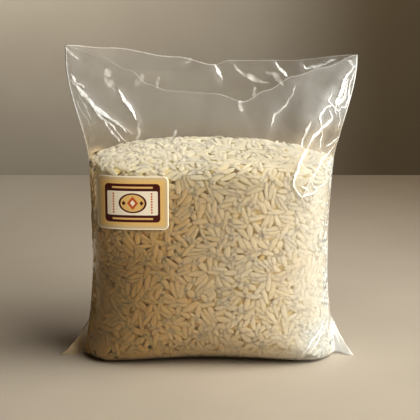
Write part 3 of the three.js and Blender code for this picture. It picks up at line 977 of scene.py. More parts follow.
@dataclass(frozen=True)
class Milkiness:
    """How milky the parts of the film are, and which of them dull or get a painted glow; the milk is partly
    the film's own and partly painted sheen on the lit right, the right corner and the thin left edge.
    """

    neck: float = 0.055
    neck_left: float = 0.02
    neck_right: float = 0.07
    body: float = 0.05
    body_middle: float = 0.06
    # Extra milk over the rice on the lit right: partly painted sheen.
    body_right: float = 0.15
    # Heavy milk on the right bottom corner: partly painted light.
    right_corner: float = 0.95
    left_corner: float = 0.14
    crease: float = 0.14
    crease_reach: float = 2.2
    thin_edge: float = 0.5
    side_fold: float = 0.7
    side_fold_reach: float = 0.008
    most: float = 0.9
    dulling: float = 0.95
    # Strength of the painted glow on the right corner.
    corner_glow: float = 0.32
    neck_left_places: tuple[float, float] = (-26.0, -46.0)
    neck_right_places: tuple[float, float] = (30.0, 46.0)
    middle_places: tuple[float, float] = (-20.0, 20.0)
    right_places: tuple[float, float] = (16.0, 44.0)
    right_corner_places: tuple[float, float] = (50.0, 54.0)
    right_corner_heights: tuple[float, float] = (12.0, 20.0)
    left_corner_places: tuple[float, float] = (-50.0, -54.0)
    left_corner_heights: tuple[float, float] = (10.0, 16.0)
    crease_heights: tuple[float, float] = (70.0, 90.0)
    edge_places: tuple[float, float] = (-43.0, -49.0)
    edge_foot: tuple[float, float] = (16.0, 30.0)
    edge_brightens: tuple[float, float] = (62.0, 74.0)
    edge_top: tuple[float, float] = (84.0, 90.0)
    edge_low: float = 0.25
    dull_places: tuple[float, float] = (14.0, 28.0)
    dull_heights: tuple[float, float] = (76.0, 86.0)

    def spread(self, x: Array, z: Array, free: Array, on_front: Array) -> Array:
        """Finds the milkiness of the smooth film, partly painted sheen where it grows to the right.

        Args:
            x: places across.
            z: heights.
            free: 1 above the rice and 0 beside it.
            on_front: 1 on the front.

        Returns:
            The haze from 0 to 1, without the creases'.
        """
        haze = free * (self.neck + self.neck_left * smooth(*self.neck_left_places, x)
                       + self.neck_right * smooth(*self.neck_right_places, x))
        # More milk over the rice towards the lit right: partly painted sheen.
        right = self.body_middle * smooth(*self.middle_places, x)
        right = right + self.body_right * smooth(*self.right_places, x)
        haze += (1 - free) * (self.body + right * on_front)
        left = smooth(*self.left_corner_places, x) * (1 - smooth(*self.left_corner_heights, z))
        # The right corner's heavy milk is partly painted light.
        haze += self.right_corner * self.corner(x, z) + self.left_corner * left
        return haze + self.thin_edge * self.far_edge(x, z)

    def corner(self, x: Array, z: Array) -> Array:
        """Returns 1 on the pressed film of the right bottom corner."""
        return smooth(*self.right_corner_places, x) * (1 - smooth(*self.right_corner_heights, z))

    def far_edge(self, x: Array, z: Array) -> Array:
        """Returns 1 on the thin left edge by the rice's top, less below, where milk and a painted glow
        stand in for light that gets through.
        """
        upright = smooth(*self.edge_foot, z) * (1 - smooth(*self.edge_top, z))
        bright = mix(self.edge_low, 1.0, smooth(*self.edge_brightens, z))
        return smooth(*self.edge_places, x) * bright * upright

    def gloss(self, x: Array, z: Array) -> Array:
        """Returns how much of the mirror is left, less at the upper right."""
        return 1 - self.dulling * smooth(*self.dull_places, x) * smooth(*self.dull_heights, z)

    def led(self, x: Array, z: Array) -> Array:
        """Returns how strong the painted glow is on the right corner and the thin edge."""
        return np.maximum(self.corner_glow * self.corner(x, z), self.far_edge(x, z))


@dataclass
class Film:
    """The clear bag: one sheet from the floor to the rim, creased where no rice holds it out."""

    shape: BagShape = SHAPE
    inset: float = 0.12
    thickness: float = 0.1
    corner_half: float = 0.35
    columns: int = 184
    foot_rows: int = 24
    body_rows: int = 36
    neck_rows: int = 66
    foot_top: float = 16.0
    neck_bottom: float = 79.0
    crease_lines: tuple[Crease, ...] = LEFT_CREASES + RIGHT_CREASES + BACK_CREASES
    milkiness: Milkiness = field(default_factory=Milkiness)
    free_heights: tuple[float, float] = (84.0, 98.0)
    edge_reach: tuple[float, float] = (1.5, 9.0)
    slack_right: tuple[float, float] = (30.0, 44.0)
    slack_heights: tuple[float, float] = (72.0, 88.0)
    foot_heights: tuple[float, float] = (5.0, 20.0)
    foot_places: tuple[float, float] = (36.0, 50.0)
    facet_size: float = 7.0
    facet_rise: tuple[float, float, float] = (0.2, 0.15, 0.3)
    small_facet_size: float = 3.6
    small_facet_rise: tuple[float, float] = (0.1, 0.15)
    facet_middle: float = 0.8
    back_shift: float = 40.0
    sway: float = 0.7
    rice_top: float = 86.0
    most_rise: float = 3.0
    most_sink: float = 0.45
    edge_fade: tuple[float, float] = (0.0, 1.2)
    floor_fade: tuple[float, float] = (0.2, 2.5)
    seed: int = 7

    def heights(self, across: Array, front: Array) -> Array:
        """Heights of the rows: fixed up to the neck, then closer and closer up to the rim.

        Args:
            across: places round the film, from -1 to 1.
            front: 1 on the front panel and 0 on the back.

        Returns:
            Heights, rows by places.
        """
        foot = self.foot_top * np.linspace(0, 1, self.foot_rows, endpoint=False) ** 1.3
        body = np.linspace(self.foot_top, self.neck_bottom, self.body_rows, endpoint=False)
        low = np.concatenate([foot, body])[:, None] * np.ones_like(across)
        low = np.maximum(low, self.inset)
        steps = 1 - (1 - np.linspace(0, 1, self.neck_rows + 1)[:, None]) ** 1.25
        neck = mix(self.neck_bottom, self.shape.rim_height(across, front)[None, :], steps)
        return np.concatenate([low, neck])

    @staticmethod
    def normals(points: Array) -> Array:
        """Returns outward normals of rows of a closed ring, by differences along both."""
        around = np.roll(points, -1, axis=1) - np.roll(points, 1, axis=1)
        upwards = np.gradient(points, axis=0)
        return unit(np.cross(around, upwards))

    def crumple(self, x: Array, z: Array, cell: float, salt: int) -> Array:
        """Facets between sharp lines: the distance to the nearest of many scattered points.

        Args:
            x: places across.
            z: heights.
            cell: usual distance between the points.
            salt: added to the seed.

        Returns:
            About 0 at a point and 1 on the lines half way between points.
        """
        random = np.random.default_rng(self.seed + salt)
        span_x, span_z = (-66.0, 106.0), (-4.0, 86.0)
        count = int((span_x[1] - span_x[0]) * (span_z[1] - span_z[0]) / cell**2)
        spots = random.uniform((span_x[0], span_z[0]), (span_x[1], span_z[1]), (count, 2))
        nearest = np.full(x.shape, 1e6)
        for spot_x, spot_z in spots:
            nearest = np.minimum(nearest, (x - spot_x) ** 2 + (z - spot_z) ** 2)
        return np.sqrt(nearest + (0.25 * cell) ** 2) / (0.6 * cell)

    def relief(self, points: Array, front: Array) -> tuple[Array, Array]:
        """How far the film stands out of its smooth form, and how milky it is there.

        Args:
            points: places on the smooth film, with their three numbers on the last axis.
            front: 1 on the front.

        Returns:
            The rise in millimetres, and the haze from 0 to 1.
        """
        x, depth, z = points[..., 0], np.abs(points[..., 1]), points[..., 2]
        on_front = np.broadcast_to(front, x.shape)
        free = smooth(*self.free_heights, z)
        inner = smooth(*self.edge_reach, self.shape.half_width(x, z) - np.abs(x))
        right = smooth(*self.slack_right, x) * smooth(*self.slack_heights, z) * inner
        foot = (1 - smooth(*self.foot_heights, z)) * smooth(*self.foot_places, np.abs(x))
        shift = self.back_shift * (1 - on_front)
        facets = self.crumple(x + shift, 0.62 * z, self.facet_size, 1) - self.facet_middle
        small = self.crumple(x + shift, 0.55 * z, self.small_facet_size, 2) - self.facet_middle
        on_neck, on_right, on_foot = self.facet_rise
        rise = facets * (on_neck * free * inner + on_right * right + on_foot * foot)
        on_right, on_foot = self.small_facet_rise
        rise += small * (on_right * right + on_foot * foot)
        wave = np.sin(0.13 * x + 0.05 * z + 2.1 * on_front) * np.sin(0.08 * z + 0.6)
        rise += self.sway * free * inner * wave
        haze = self.milkiness.spread(x, z, free, on_front)
        whitened = np.zeros_like(haze)
        for crease in self.crease_lines:
            on_panel = on_front if crease.panel is Panel.FRONT else 1 - on_front
            away = crease.distance(x, z)
            rise += on_panel * crease.height * np.exp(-away / crease.spread)
            near = np.exp(-((away / self.milkiness.crease_reach) ** 2))
            whitened = np.maximum(whitened, on_panel * crease.shine * near)
        haze += self.milkiness.crease * whitened * smooth(*self.milkiness.crease_heights, z)
        rise = np.where(z < self.rice_top, np.maximum(rise, 0), rise)
        rise = np.clip(rise, -self.most_sink * depth, self.most_rise)
        rise *= smooth(*self.edge_fade, depth) * smooth(*self.floor_fade, z)
        return rise, np.clip(haze, 0, self.milkiness.most)

    def lay(self, x: Array, z: Array, front: Array) -> tuple[Array, Array]:
        """Finds the creased film and its smooth outward normals at places on a panel.

        Args:
            x: places across.
            z: heights.
            front: 1 for the front panel and 0 for the back.

        Returns:
            Points and unit normals, n by 3 each.
        """
        def smooth_film(place_x: Array, place_z: Array) -> Array:
            """Returns the smooth film's points."""
            across = np.clip(place_x / (self.shape.reach(place_x, place_z) - self.inset), -1, 1)
            return self.shape.outer_point(across, place_z, front, self.inset, self.corner_half)

        step = 0.3
        base = smooth_film(x, z)
        sideways = smooth_film(x + step, z) - smooth_film(x - step, z)
        upwards = smooth_film(x, z + step) - smooth_film(x, z - step)
        outward = unit(np.cross(sideways, upwards)) * np.where(front > 0, 1, -1)[:, None]
        rise, _ = self.relief(base, front)
        return base + outward * rise[:, None], outward

    def build(self) -> bpy.types.Object:
        """Makes the film with its wall, its haze attribute and its material.

        Returns:
            The film piece.
        """
        across, front = ring_places(self.columns, 0.35)
        z = self.heights(across, front)
        rows, count = z.shape
        points = self.shape.outer_point(
            np.broadcast_to(across, z.shape), z, np.broadcast_to(front, z.shape), self.inset,
            self.corner_half)
        rise, haze = self.relief(points, front)
        points = points + self.normals(points) * rise[..., None]
        milkiness = self.milkiness
        fold = np.exp(-(((1 - np.abs(across)) / milkiness.side_fold_reach) ** 2))
        fold = milkiness.side_fold * fold[None, :]
        faces = [ring_faces(rows, count), *cap_faces(0, self.columns, False)]
        piece = make_mesh("clear_bag", points.reshape(-1, 3), faces)
        add_attribute(piece, "haze", np.maximum(haze, fold))
        add_attribute(piece, "gloss", milkiness.gloss(points[..., 0], points[..., 2]))
        # Painted glow on the right corner and the thin left edge.
        add_attribute(piece, "led", milkiness.led(points[..., 0], z))
        wall = piece.modifiers.new("wall", "SOLIDIFY")
        wall.thickness = self.thickness * MM
        wall.offset = -1.0
        piece.data.materials.append(FilmFinish().material())
        return piece


@dataclass
class FoldLines:
    """The whitened folds, the cut rim and the side edges: thin lens-shaped strips that lie on the film,
    white partly from real whitening and partly as painted glints.
    """

    film: Film
    step: float = 0.45
    thickness: float = 0.14
    around: int = 10
    rim_width: float = 0.5
    lift: float = 0.06
    rim_shine: dict[Panel, float] = field(default_factory=lambda: {Panel.FRONT: 0.14, Panel.BACK: 0.22})
    rim_taper: float = 0.1
    rim_reach: float = 0.985
    rim_points: int = 260
    rim_drop: float = 0.25
    side_shine: tuple[float, float] = (0.75, 0.95)
    side_bottom: float = 22.0
    side_drop: float = 0.6
    side_inset: float = 0.55
    side_points: int = 200
    flank: tuple[float, float, float] = (0.8, 0.0, 0.7)
    seed: int = 23

    def strip(self, line: Array, width: float, shine: float, panel: Panel,
              random: np.random.Generator, taper: float = 0.6) -> tuple[Array, Array]:
        """Carries a lens section along a line on the film.

        The width follows sin(pi s)^taper and a slow waver, and the strength falls to nothing at the
        section's two edges.

        Args:
            line: places across and up a panel, n by 2.
            width: the greatest width.
            shine: the greatest strength.
            panel: the panel that the line lies on.
            random: the folds' random numbers.
            taper: how the ends come to a point.

        Returns:
            Points from the first end to the last, and each one's strength.
        """
        count = len(line)
        places, outward = self.film.lay(line[:, 0], line[:, 1], np.full(count, panel.value))
        along = unit(np.gradient(places, axis=0))
        towards = 1 if panel is Panel.FRONT else -1
        flank = outward + towards * random.uniform(0.5, 1.0) * np.array(self.flank)
        outward = unit(flank - along * np.sum(flank * along, axis=1, keepdims=True))
        side = unit(np.cross(outward, along))
        s = np.linspace(0, 1, count)
        slow = np.sin(s * random.uniform(5, 12) + random.uniform(0, 6))
        body = np.maximum(np.sin(np.pi * s), 0) ** taper
        half = 0.5 * width * body * (1 + 0.25 * slow)
        bright = shine * (0.75 + 0.25 * np.sin(s * random.uniform(9, 20) + random.uniform(0, 6)))
        turn = 2 * np.pi * np.arange(self.around) / self.around
        ring = places[1:-1, None] + outward[1:-1, None] * self.lift
        ring = ring + side[1:-1, None] * (half[1:-1, None] * np.cos(turn))[..., None]
        ring = ring + outward[1:-1, None] * (0.5 * self.thickness * np.sin(turn))[None, :, None]
        strength = bright[1:-1, None] * np.abs(np.sin(turn)) ** 1.5
        ends = places[[0, -1]] + outward[[0, -1]] * self.lift
        points = np.concatenate([ends[:1], ring.reshape(-1, 3), ends[1:]])
        return points, np.concatenate([[0], strength.ravel(), [0]])

    def rim(self, panel: Panel) -> Array:
        """Returns the line just below the cut edge of a panel."""
        across = np.linspace(-self.rim_reach, self.rim_reach, self.rim_points)
        z = self.film.shape.rim_height(across, np.full(across.shape, panel.value)) - self.rim_drop
        return np.stack([across * self.film.shape.half_width(across, z), z], axis=-1)

    def side(self, side: int) -> Array:
        """Runs just inside an edge of the front, up to the corner.

        Args:
            side: -1 for the left edge and 1 for the right.

        Returns:
            The line's places across and up the panel, n by 2.
        """
        shape = self.film.shape
        high = shape.rim_height(np.array(float(side)), np.array(1.0)) - self.side_drop
        z = np.linspace(self.side_bottom, float(high), self.side_points)
        x = side * (shape.half_width(np.full(z.shape, float(side)), z) - self.side_inset)
        return np.stack([x, z], axis=-1)

    def build(self) -> bpy.types.Object:
        """Makes every strip as one mesh.

        Returns:
            The fold piece.
        """
        random = np.random.default_rng(self.seed)
        strips = []
        for crease in self.film.crease_lines:
            line = crease.route(self.step, random)
            strips.append(self.strip(line, crease.width, crease.shine, crease.panel, random))
        edges = [(self.rim(panel), self.rim_shine[panel], panel) for panel in Panel]
        edges += [(self.side(side), shine, Panel.FRONT) for side, shine in zip((-1, 1), self.side_shine)]
        for line, shine, panel in edges:
            strips.append(self.strip(line, self.rim_width, shine, panel, random, self.rim_taper))
        faces, start = [], 0
        for points, _ in strips:
            rings = (len(points) - 2) // self.around
            faces += [part + start for part in tube_faces(rings, self.around)]
            start += len(points)
        piece = make_mesh("fold_lines", np.concatenate([points for points, _ in strips]), faces)
        add_attribute(piece, "strength", np.concatenate([strength for _, strength in strips]))
        piece.data.materials.append(FoldFinish().material())
        return piece


@dataclass(frozen=True)
class HeapLight:
    """Where painted light, shade and glow fall on the heap's grains, by places and heights in millimetres.
    """

    # Where the painted warm shade spreads over the left, away from the light.
    shade_start: tuple[float, float] = (42.0, 25.0)
    shade_start_heights: tuple[float, float] = (8.0, 40.0)
    shade_end: float = -30.0
    shade_fade: tuple[float, float] = (72.0, 86.0)
    # Depths under the film over which the painted gap shade grows.
    painted_gap_shade: tuple[float, float] = (0.75, 2.1)
    # Places over which the painted tint of the lit right grows.
    lit: tuple[float, float] = (20.0, 44.0)
    # Places over which the painted glow grows across the heap.
    painted_glow_across: tuple[float, float] = (-30.0, 40.0)
    painted_glow_side: float = 0.55
    # Heights and places of the painted shade at the top right; the heights also raise the painted glow.
    top: tuple[float, float] = (72.0, 84.0)
    high_across: tuple[float, float] = (-20.0, 30.0)
    # Heights of the painted top light, weaker to the right.
    painted_top_light: tuple[float, float] = (66.0, 86.0)
    painted_top_light_fade: tuple[float, float] = (0.0, 26.0)
    painted_top_light_right: float = 0.15

    def tints(self, points: Array, centre: Array, room: Array) -> dict[str, Array]:
        """Finds the numbers that paint light, shade and glow into the grains' colour.

        Args:
            points: the grains' points, grains by points by 3.
            centre: the grains' centres, n by 3.
            room: how far the points lie inside the heap, grains by points.

        Returns:
            Values from 0 to 1 under the names that the rice's material reads.
        """
        x, z = centre[:, 0], centre[:, 2]
        start = mix(*self.shade_start, smooth(*self.shade_start_heights, z))
        each = {
            # Painted shade on the left, a painted tint on the lit right, painted shade at the top right and
            # painted light on the top.
            "shade": smooth(start, self.shade_end, x) * (1 - smooth(*self.shade_fade, z)),
            "lit": smooth(*self.lit, x),
            "high": smooth(*self.top, z) * smooth(*self.high_across, x),
            "painted_top_light": smooth(*self.painted_top_light, z) * mix(1.0, self.painted_top_light_right, smooth(*self.painted_top_light_fade, x)),
        }
        tints = {name: np.repeat(values, points.shape[1]) for name, values in each.items()}
        side = self.painted_glow_side * smooth(*self.painted_glow_across, points[..., 0])
        # Painted shade in the gaps under the film, and a painted glow there.
        tints["painted_gap_shade"] = smooth(*self.painted_gap_shade, room)
        tints["led"] = tints["painted_gap_shade"] * np.maximum(side, smooth(*self.top, points[..., 2]))
        return tints


@dataclass
class RiceHeap:
    """Loose grains settled against the film over a bumpy core."""

    shape: BagShape = SHAPE
    film_gap: float = 0.45
    film_clear: float = 0.28
    thin_side: float = 6.0
    shell: float = 5.4
    spacing: float = 2.8
    grain_length: float = 8.5
    grain_radius: float = 1.34
    flatness: float = 0.68
    give: float = 0.68
    press: float = 0.08
    layer: float = 2.4
    softness: float = 0.8
    bend: float = 0.16
    bend_spread: float = 0.5
    lean_spread: float = 0.35
    tone_shape: tuple[float, float] = (2.2, 1.6)
    end_roundness: float = 0.8
    pressings: int = 3
    sides: int = 6
    rings: tuple[float, ...] = (-1.0, -0.74, 0.0, 0.72, 1.0)
    most_grains: int = 5500
    steps: int = 90
    core_inset: float = 3.0
    core_columns: int = 60
    core_rows: int = 60
    core_top_rows: int = 24
    core_bumps: float = 0.9
    length_spread: float = 0.11
    radius_spread: float = 0.05
    broken_share: float = 0.06
    broken_length: tuple[float, float] = (0.45, 0.75)
    lie_flat: tuple[float, float] = (0.93, 0.6)
    chain: tuple[float, ...] = (-0.72, -0.25, 0.25, 0.72)
    chain_girth: tuple[float, ...] = (0.8, 0.97, 0.97, 0.8)
    pair_cell: float = 2.6
    pair_every: int = 5
    ease: float = 0.42
    turn_ease: float = 0.8
    lay_down: float = 0.25
    light: HeapLight = field(default_factory=HeapLight)
    seed: int = 11

    def start(self, random: np.random.Generator) -> Array:
        """Returns grain centres on a shaken grid, in a shell just inside the heap's surface."""
        reach = self.shape.body_half_width + self.shape.foot_spread
        axes = [
            np.arange(-reach, reach, self.spacing),
            np.arange(-self.shape.body_half_depth, self.shape.body_half_depth, self.spacing),
            np.arange(0, self.shape.heap_edge + 9, self.spacing),
        ]
        grid = np.stack(np.meshgrid(*axes, indexing="ij"), axis=-1).reshape(-1, 3)
        grid = grid + random.uniform(-0.5, 0.5, grid.shape) * self.spacing
        room = self.shape.room(grid)
        return grid[(room > self.grain_radius + 0.2) & (room < self.shell)]

    def lean(self, points: Array, heaped: bool = True) -> Array:
        """Finds the direction in which the room grows, by central differences.

        Args:
            points: places in millimetres, n by 3.
            heaped: False to leave out the heap's top.

        Returns:
            Unit vectors, n by 3.
        """
        step = 0.25
        room = self.shape.room
        sides = [room(points + step * axis, heaped) - room(points - step * axis, heaped)
                 for axis in np.eye(3)]
        return unit(np.stack(sides, axis=-1))

    def keep_inside(self, points: Array) -> Array:
        """Presses the points of the grains flat where they would come through the film.

        Args:
            points: the grains' points, n by 3.

        Returns:
            The points, each at least the clear distance inside the bag's outer face.
        """
        for _ in range(self.pressings):
            short = np.maximum(self.film_clear - self.shape.room(points, False), 0)
            points = points + self.lean(points, False) * short[:, None]
        x, y, z = points.T
        width = self.shape.half_width(x, z)
        full = self.shape.section_depth(np.clip(x, -width, width), z, (y < 0).astype(float))
        deepest = np.where(full > self.thin_side, full - self.film_clear, np.inf)
        return np.stack([x, np.clip(y, -deepest, deepest), z], axis=-1)

    @staticmethod
    def neighbours(points: Array, cell: float) -> tuple[Array, Array]:
        """Pairs of points in the same or touching cells of a grid.

        Args:
            points: places, n by 3.
            cell: the grid's cell size.

        Returns:
            Two arrays of point numbers, each pair once.
        """
        place = np.floor(points / cell).astype(np.int64)
        place -= place.min(axis=0) - 1
        size = place.max(axis=0) + 2
        key = (place[:, 0] * size[1] + place[:, 1]) * size[2] + place[:, 2]
        order = np.argsort(key, kind="stable")
        ordered = key[order]
        firsts, seconds = [], []
        offsets = [(i, j, k) for i in (-1, 0, 1) for j in (-1, 0, 1) for k in (-1, 0, 1)]
        for i, j, k in offsets:
            other = key + (i * size[1] + j) * size[2] + k
            low = np.searchsorted(ordered, other, side="left")
            high = np.searchsorted(ordered, other, side="right")
            counts = high - low
            first = np.repeat(np.arange(len(points)), counts)
            within = np.arange(counts.sum()) - np.repeat(np.cumsum(counts) - counts, counts)
            second = order[np.repeat(low, counts) + within]
            keep = first < second
            firsts.append(first[keep])
            seconds.append(second[keep])
        return np.concatenate(firsts), np.concatenate(seconds)

    def settle(self, random: np.random.Generator) -> tuple[Array, Array, Array, Array]:
        """Pushes grains apart, as chains of four balls, until they lie beside each other.

        Args:
            random: the heap's random numbers.

        Returns:
            Centres, directions, half lengths and radii of the grains.
        """
        centre = self.start(random)
        count = len(centre)
        inward = self.lean(centre)
        axis = random.normal(size=(count, 3))
        outer = self.shape.room(centre) < 0.5 * self.shell
        flatten = np.where(outer, *self.lie_flat)[:, None]
        axis = unit(axis - flatten * inward * np.sum(axis * inward, axis=1, keepdims=True))
        half = random.normal(1.0, self.length_spread, count).clip(0.75, 1.25)
        half = 0.5 * self.grain_length * half
        broken = random.random(count) < self.broken_share
        half = np.where(broken, half * random.uniform(*self.broken_length, count), half)
        radius = random.normal(1.0, self.radius_spread, count).clip(0.88, 1.12)
        radius = self.grain_radius * radius
        along = np.array(self.chain)
        girth = np.array(self.chain_girth)
        owner = np.repeat(np.arange(count), len(along))
        offset = (half[:, None] * along).ravel()
        ball = self.give * (radius[:, None] * girth).ravel()
        lever = np.maximum(np.bincount(owner, offset**2, count), 1e-6)
        first = second = np.zeros(0, dtype=np.int64)
        for step in range(self.steps):
            places = centre[owner] + offset[:, None] * axis[owner]
            if step % self.pair_every == 0:
                first, second = self.neighbours(places, self.pair_cell)
                apart = owner[first] != owner[second]
                first, second = first[apart], second[apart]
            gap = places[first] - places[second]
            distance = np.linalg.norm(gap, axis=1)
            overlap = np.maximum(ball[first] + ball[second] - distance, 0)
            push = 0.5 * (overlap / np.maximum(distance, 1e-6))[:, None] * gap
            move = np.zeros_like(places)
            for channel in range(3):
                move[:, channel] = np.bincount(first, push[:, channel], len(places))
                move[:, channel] -= np.bincount(second, push[:, channel], len(places))
            move = self.turn_ease * move.clip(-1.0, 1.0)
            room = self.shape.room(places)
            lean = self.lean(places)
            short = np.maximum(ball / self.give * self.flatness + self.film_gap - room, 0)
            deep = np.maximum(room - self.shell, 0)
            move += lean * (short - 0.5 * deep).clip(-1.5, 1.5)[:, None]
            shift = np.stack([np.bincount(owner, move[:, c], count) for c in range(3)], axis=1)
            centre = centre + self.ease * shift - self.press * lean[1::4]
            turn = np.stack([np.bincount(owner, move[:, c] * offset, count) for c in range(3)], axis=1)
            axis = unit(axis + self.turn_ease * turn / lever[:, None])
            inward = unit(lean[1::4] + lean[2::4])
            lying = np.where(room[1::4] < self.layer, self.lay_down, 0)[:, None]
            axis = unit(axis - lying * inward * np.sum(axis * inward, axis=1, keepdims=True))
        return centre, axis, half, radius

    def template(self) -> tuple[Array, list[Array]]:
        """One grain along X with unit half length and radius.

        The radius follows (1 - |s|^2.5)^0.55 and is fuller at one end, as a hulled grain is.

        Returns:
            Its points and its faces, with a point at each end.
        """
        turns = 2 * math.pi * np.arange(self.sides) / self.sides
        inner = np.array(self.rings[1:-1])
        girth = (1 - np.abs(inner) ** 2.5) ** 0.55 * (1 + 0.06 * inner)
        ring = np.stack([np.cos(turns), np.sin(turns)], axis=-1)
        body = np.concatenate([
            np.broadcast_to(inner[:, None, None], (len(inner), self.sides, 1)),
            girth[:, None, None] * ring[None]], axis=-1).reshape(-1, 3)
        points = np.concatenate([[[-1, 0, 0]], body, [[1, 0, 0]]])
        return points, tube_faces(len(inner), self.sides)

    def outermost(self, centre: Array, axis: Array, half: Array) -> Array:
        """Returns the numbers of the grains that lie nearest to the film."""
        reach = half[:, None] * np.array([-0.8, 0.0, 0.8])
        places = centre[:, None] + axis[:, None] * reach[..., None]
        depth = self.shape.room(places.reshape(-1, 3)).reshape(-1, 3).min(axis=1)
        return np.argsort(depth, kind="stable")[: self.most_grains]

    def grains(self) -> bpy.types.Object:
        """Makes the grains as one joined mesh.

        Returns:
            The grain piece.
        """
        random = np.random.default_rng(self.seed)
        settled = self.settle(random)
        chosen = self.outermost(*settled[:3])
        centre, axis, half, radius = (values[chosen] for values in settled)
        LOG.info("settled %d grains and kept the outer %d", len(settled[0]), len(chosen))
        inward = self.lean(centre)
        flat = unit(inward - axis * np.sum(inward * axis, axis=1, keepdims=True)
                    + self.lean_spread * random.normal(size=axis.shape))
        wide = unit(np.cross(flat, axis))
        flat = unit(np.cross(axis, wide))
        bend = self.bend * half * random.normal(1.0, self.bend_spread, len(centre))
        tone = random.beta(*self.tone_shape, len(centre))
        model, faces = self.template()
        s, v, w = model.T
        points = (
            centre[:, None] + axis[:, None] * (half[:, None] * s)[..., None]
            + wide[:, None] * (radius[:, None] * v)[..., None]
            + flat[:, None] * (radius[:, None] * self.flatness * w)[..., None]
            + wide[:, None] * (bend[:, None] * (1 - s**2) * 0.5)[..., None])
        points = self.keep_inside(points.reshape(-1, 3)).reshape(points.shape)
        base = np.arange(len(centre))[:, None, None] * len(model)
        parts = [(base + part[None]).reshape(-1, part.shape[1]) for part in faces]
        piece = make_mesh("rice_grains", points.reshape(-1, 3), parts)
        round_s = s * radius[:, None] / half[:, None] * self.end_roundness
        own = unit(axis[:, None] * round_s[..., None] + wide[:, None] * v[:, None]
                   + flat[:, None] * (w / self.flatness)[:, None])
        soft = unit(mix(own, -inward[:, None], self.softness))
        piece.data.normals_split_custom_set_from_vertices(soft.reshape(-1, 3))
        room = self.shape.room(points.reshape(-1, 3)).reshape(len(centre), -1)
        tints = self.light.tints(points, centre, room)
        tints |= {"tone": np.repeat(tone, len(model)), "along": np.tile(s, len(centre))}
        for name, values in tints.items():
            add_attribute(piece, name, values)
        piece.data.materials.append(RiceFinish().material())
        return piece

    def core(self) -> bpy.types.Object:
        """Makes the closed core: wall rows, a floor and a top laid across front to back.

        Returns:
            The core piece.
        """
        random = np.random.default_rng(self.seed + 1)
        across, front = ring_places(self.core_columns, 0.5)
        inset = self.core_inset
        edge = self.shape.heap_height(across * self.shape.body_half_width, np.where(front > 0, -1, 1))
        steps = np.linspace(0, 1, self.core_rows)[:, None] ** 1.15
        z = mix(inset, edge[None, :] - inset, steps)
        wide = np.broadcast_to(across, z.shape)
        walls = self.shape.wall_point(wide, z, np.broadcast_to(front, z.shape), inset)
        walls = walls - Film.normals(walls) * self.core_bumps * random.random(z.shape)[..., None]
        count, columns = len(across), self.core_columns
        top_rows = self.core_top_rows
        last = walls[-1]
        front_edge = last[: columns + 1]
        back_edge = np.concatenate([last[:1], last[:columns - 1:-1]])
        t = np.linspace(0, 1, top_rows + 1)[1:-1, None, None]
        top = mix(front_edge[None, 1:-1], back_edge[None, 1:-1], t)
        top[..., 2] = self.shape.heap_height(top[..., 0], 2 * t[..., 0] - 1) - inset
        top[..., 2] -= self.core_bumps * random.random(top.shape[:2])
        start = (len(walls) - 1) * count
        column = np.arange(1, columns)
        inner = len(walls) * count + np.arange(top[..., 0].size).reshape(-1, columns - 1)
        lines = np.concatenate([(start + column)[None], inner, (start + count - column)[None]])
        quads = np.stack([lines[:-1, :-1], lines[:-1, 1:], lines[1:, 1:], lines[1:, :-1]], axis=-1)
        left = np.stack([np.full(top_rows, start), lines[:-1, 0], lines[1:, 0]], axis=-1)
        right = np.stack([lines[:-1, -1], np.full(top_rows, start + columns), lines[1:, -1]], axis=-1)
        points = np.concatenate([walls.reshape(-1, 3), top.reshape(-1, 3)])
        faces = [ring_faces(len(walls), count), *cap_faces(0, columns, False), quads.reshape(-1, 4),
                 left, right]
        piece = make_mesh("rice_core", points, faces)
        piece.data.materials.append(CoreFinish().material())
        return piece


@dataclass
class Sticker:
    """The printed paper on the front, with round corners and its own UV map in millimetres."""

    shape: BagShape = SHAPE
    columns: int = 72
    rows: int = 56
    stand: float = 0.05
    thickness: float = 0.22

    def build(self) -> bpy.types.Object:
        """Makes the sticker from a grid whose columns shrink at the round corners.

        Returns:
            The sticker piece.
        """
        place = self.shape.sticker
        v = np.sin(np.linspace(-1, 1, self.rows + 1) * math.pi / 2) * place.half_height
        past = np.maximum(0, np.abs(v) - (place.half_height - place.corner))
        width = place.half_width - place.corner + np.sqrt(place.corner**2 - past**2)
        u = np.linspace(-1, 1, self.columns + 1)[None, :] * width[:, None]
        v = np.broadcast_to(v[:, None], u.shape)
        x = (place.left + place.right) / 2 + u
        z = (place.bottom + place.top) / 2 + v
        y = -self.shape.section_depth(x, z, np.ones_like(x)) - self.stand
        points = np.stack([x, y, z], axis=-1).reshape(-1, 3)
        row, column = np.meshgrid(np.arange(self.rows), np.arange(self.columns), indexing="ij")
        here = row * (self.columns + 1) + column
        faces = np.stack([here, here + 1, here + self.columns + 2, here + self.columns + 1], axis=-1)
        piece = make_mesh("printed_sticker", points, [faces.reshape(-1, 4)])
        layer = piece.data.uv_layers.new(name="UVMap")
        corner = np.zeros(len(piece.data.loops), dtype=np.int32)
        piece.data.loops.foreach_get("vertex_index", corner)
        flat = np.stack([u, v], axis=-1).reshape(-1, 2)
        layer.data.foreach_set("uv", flat[corner].astype(np.float32).ravel())
        wall = piece.modifiers.new("paper", "SOLIDIFY")
        wall.thickness = self.thickness * MM
        wall.offset = 1.0
        piece.data.materials.append(StickerFinish().material(place))
        return piece


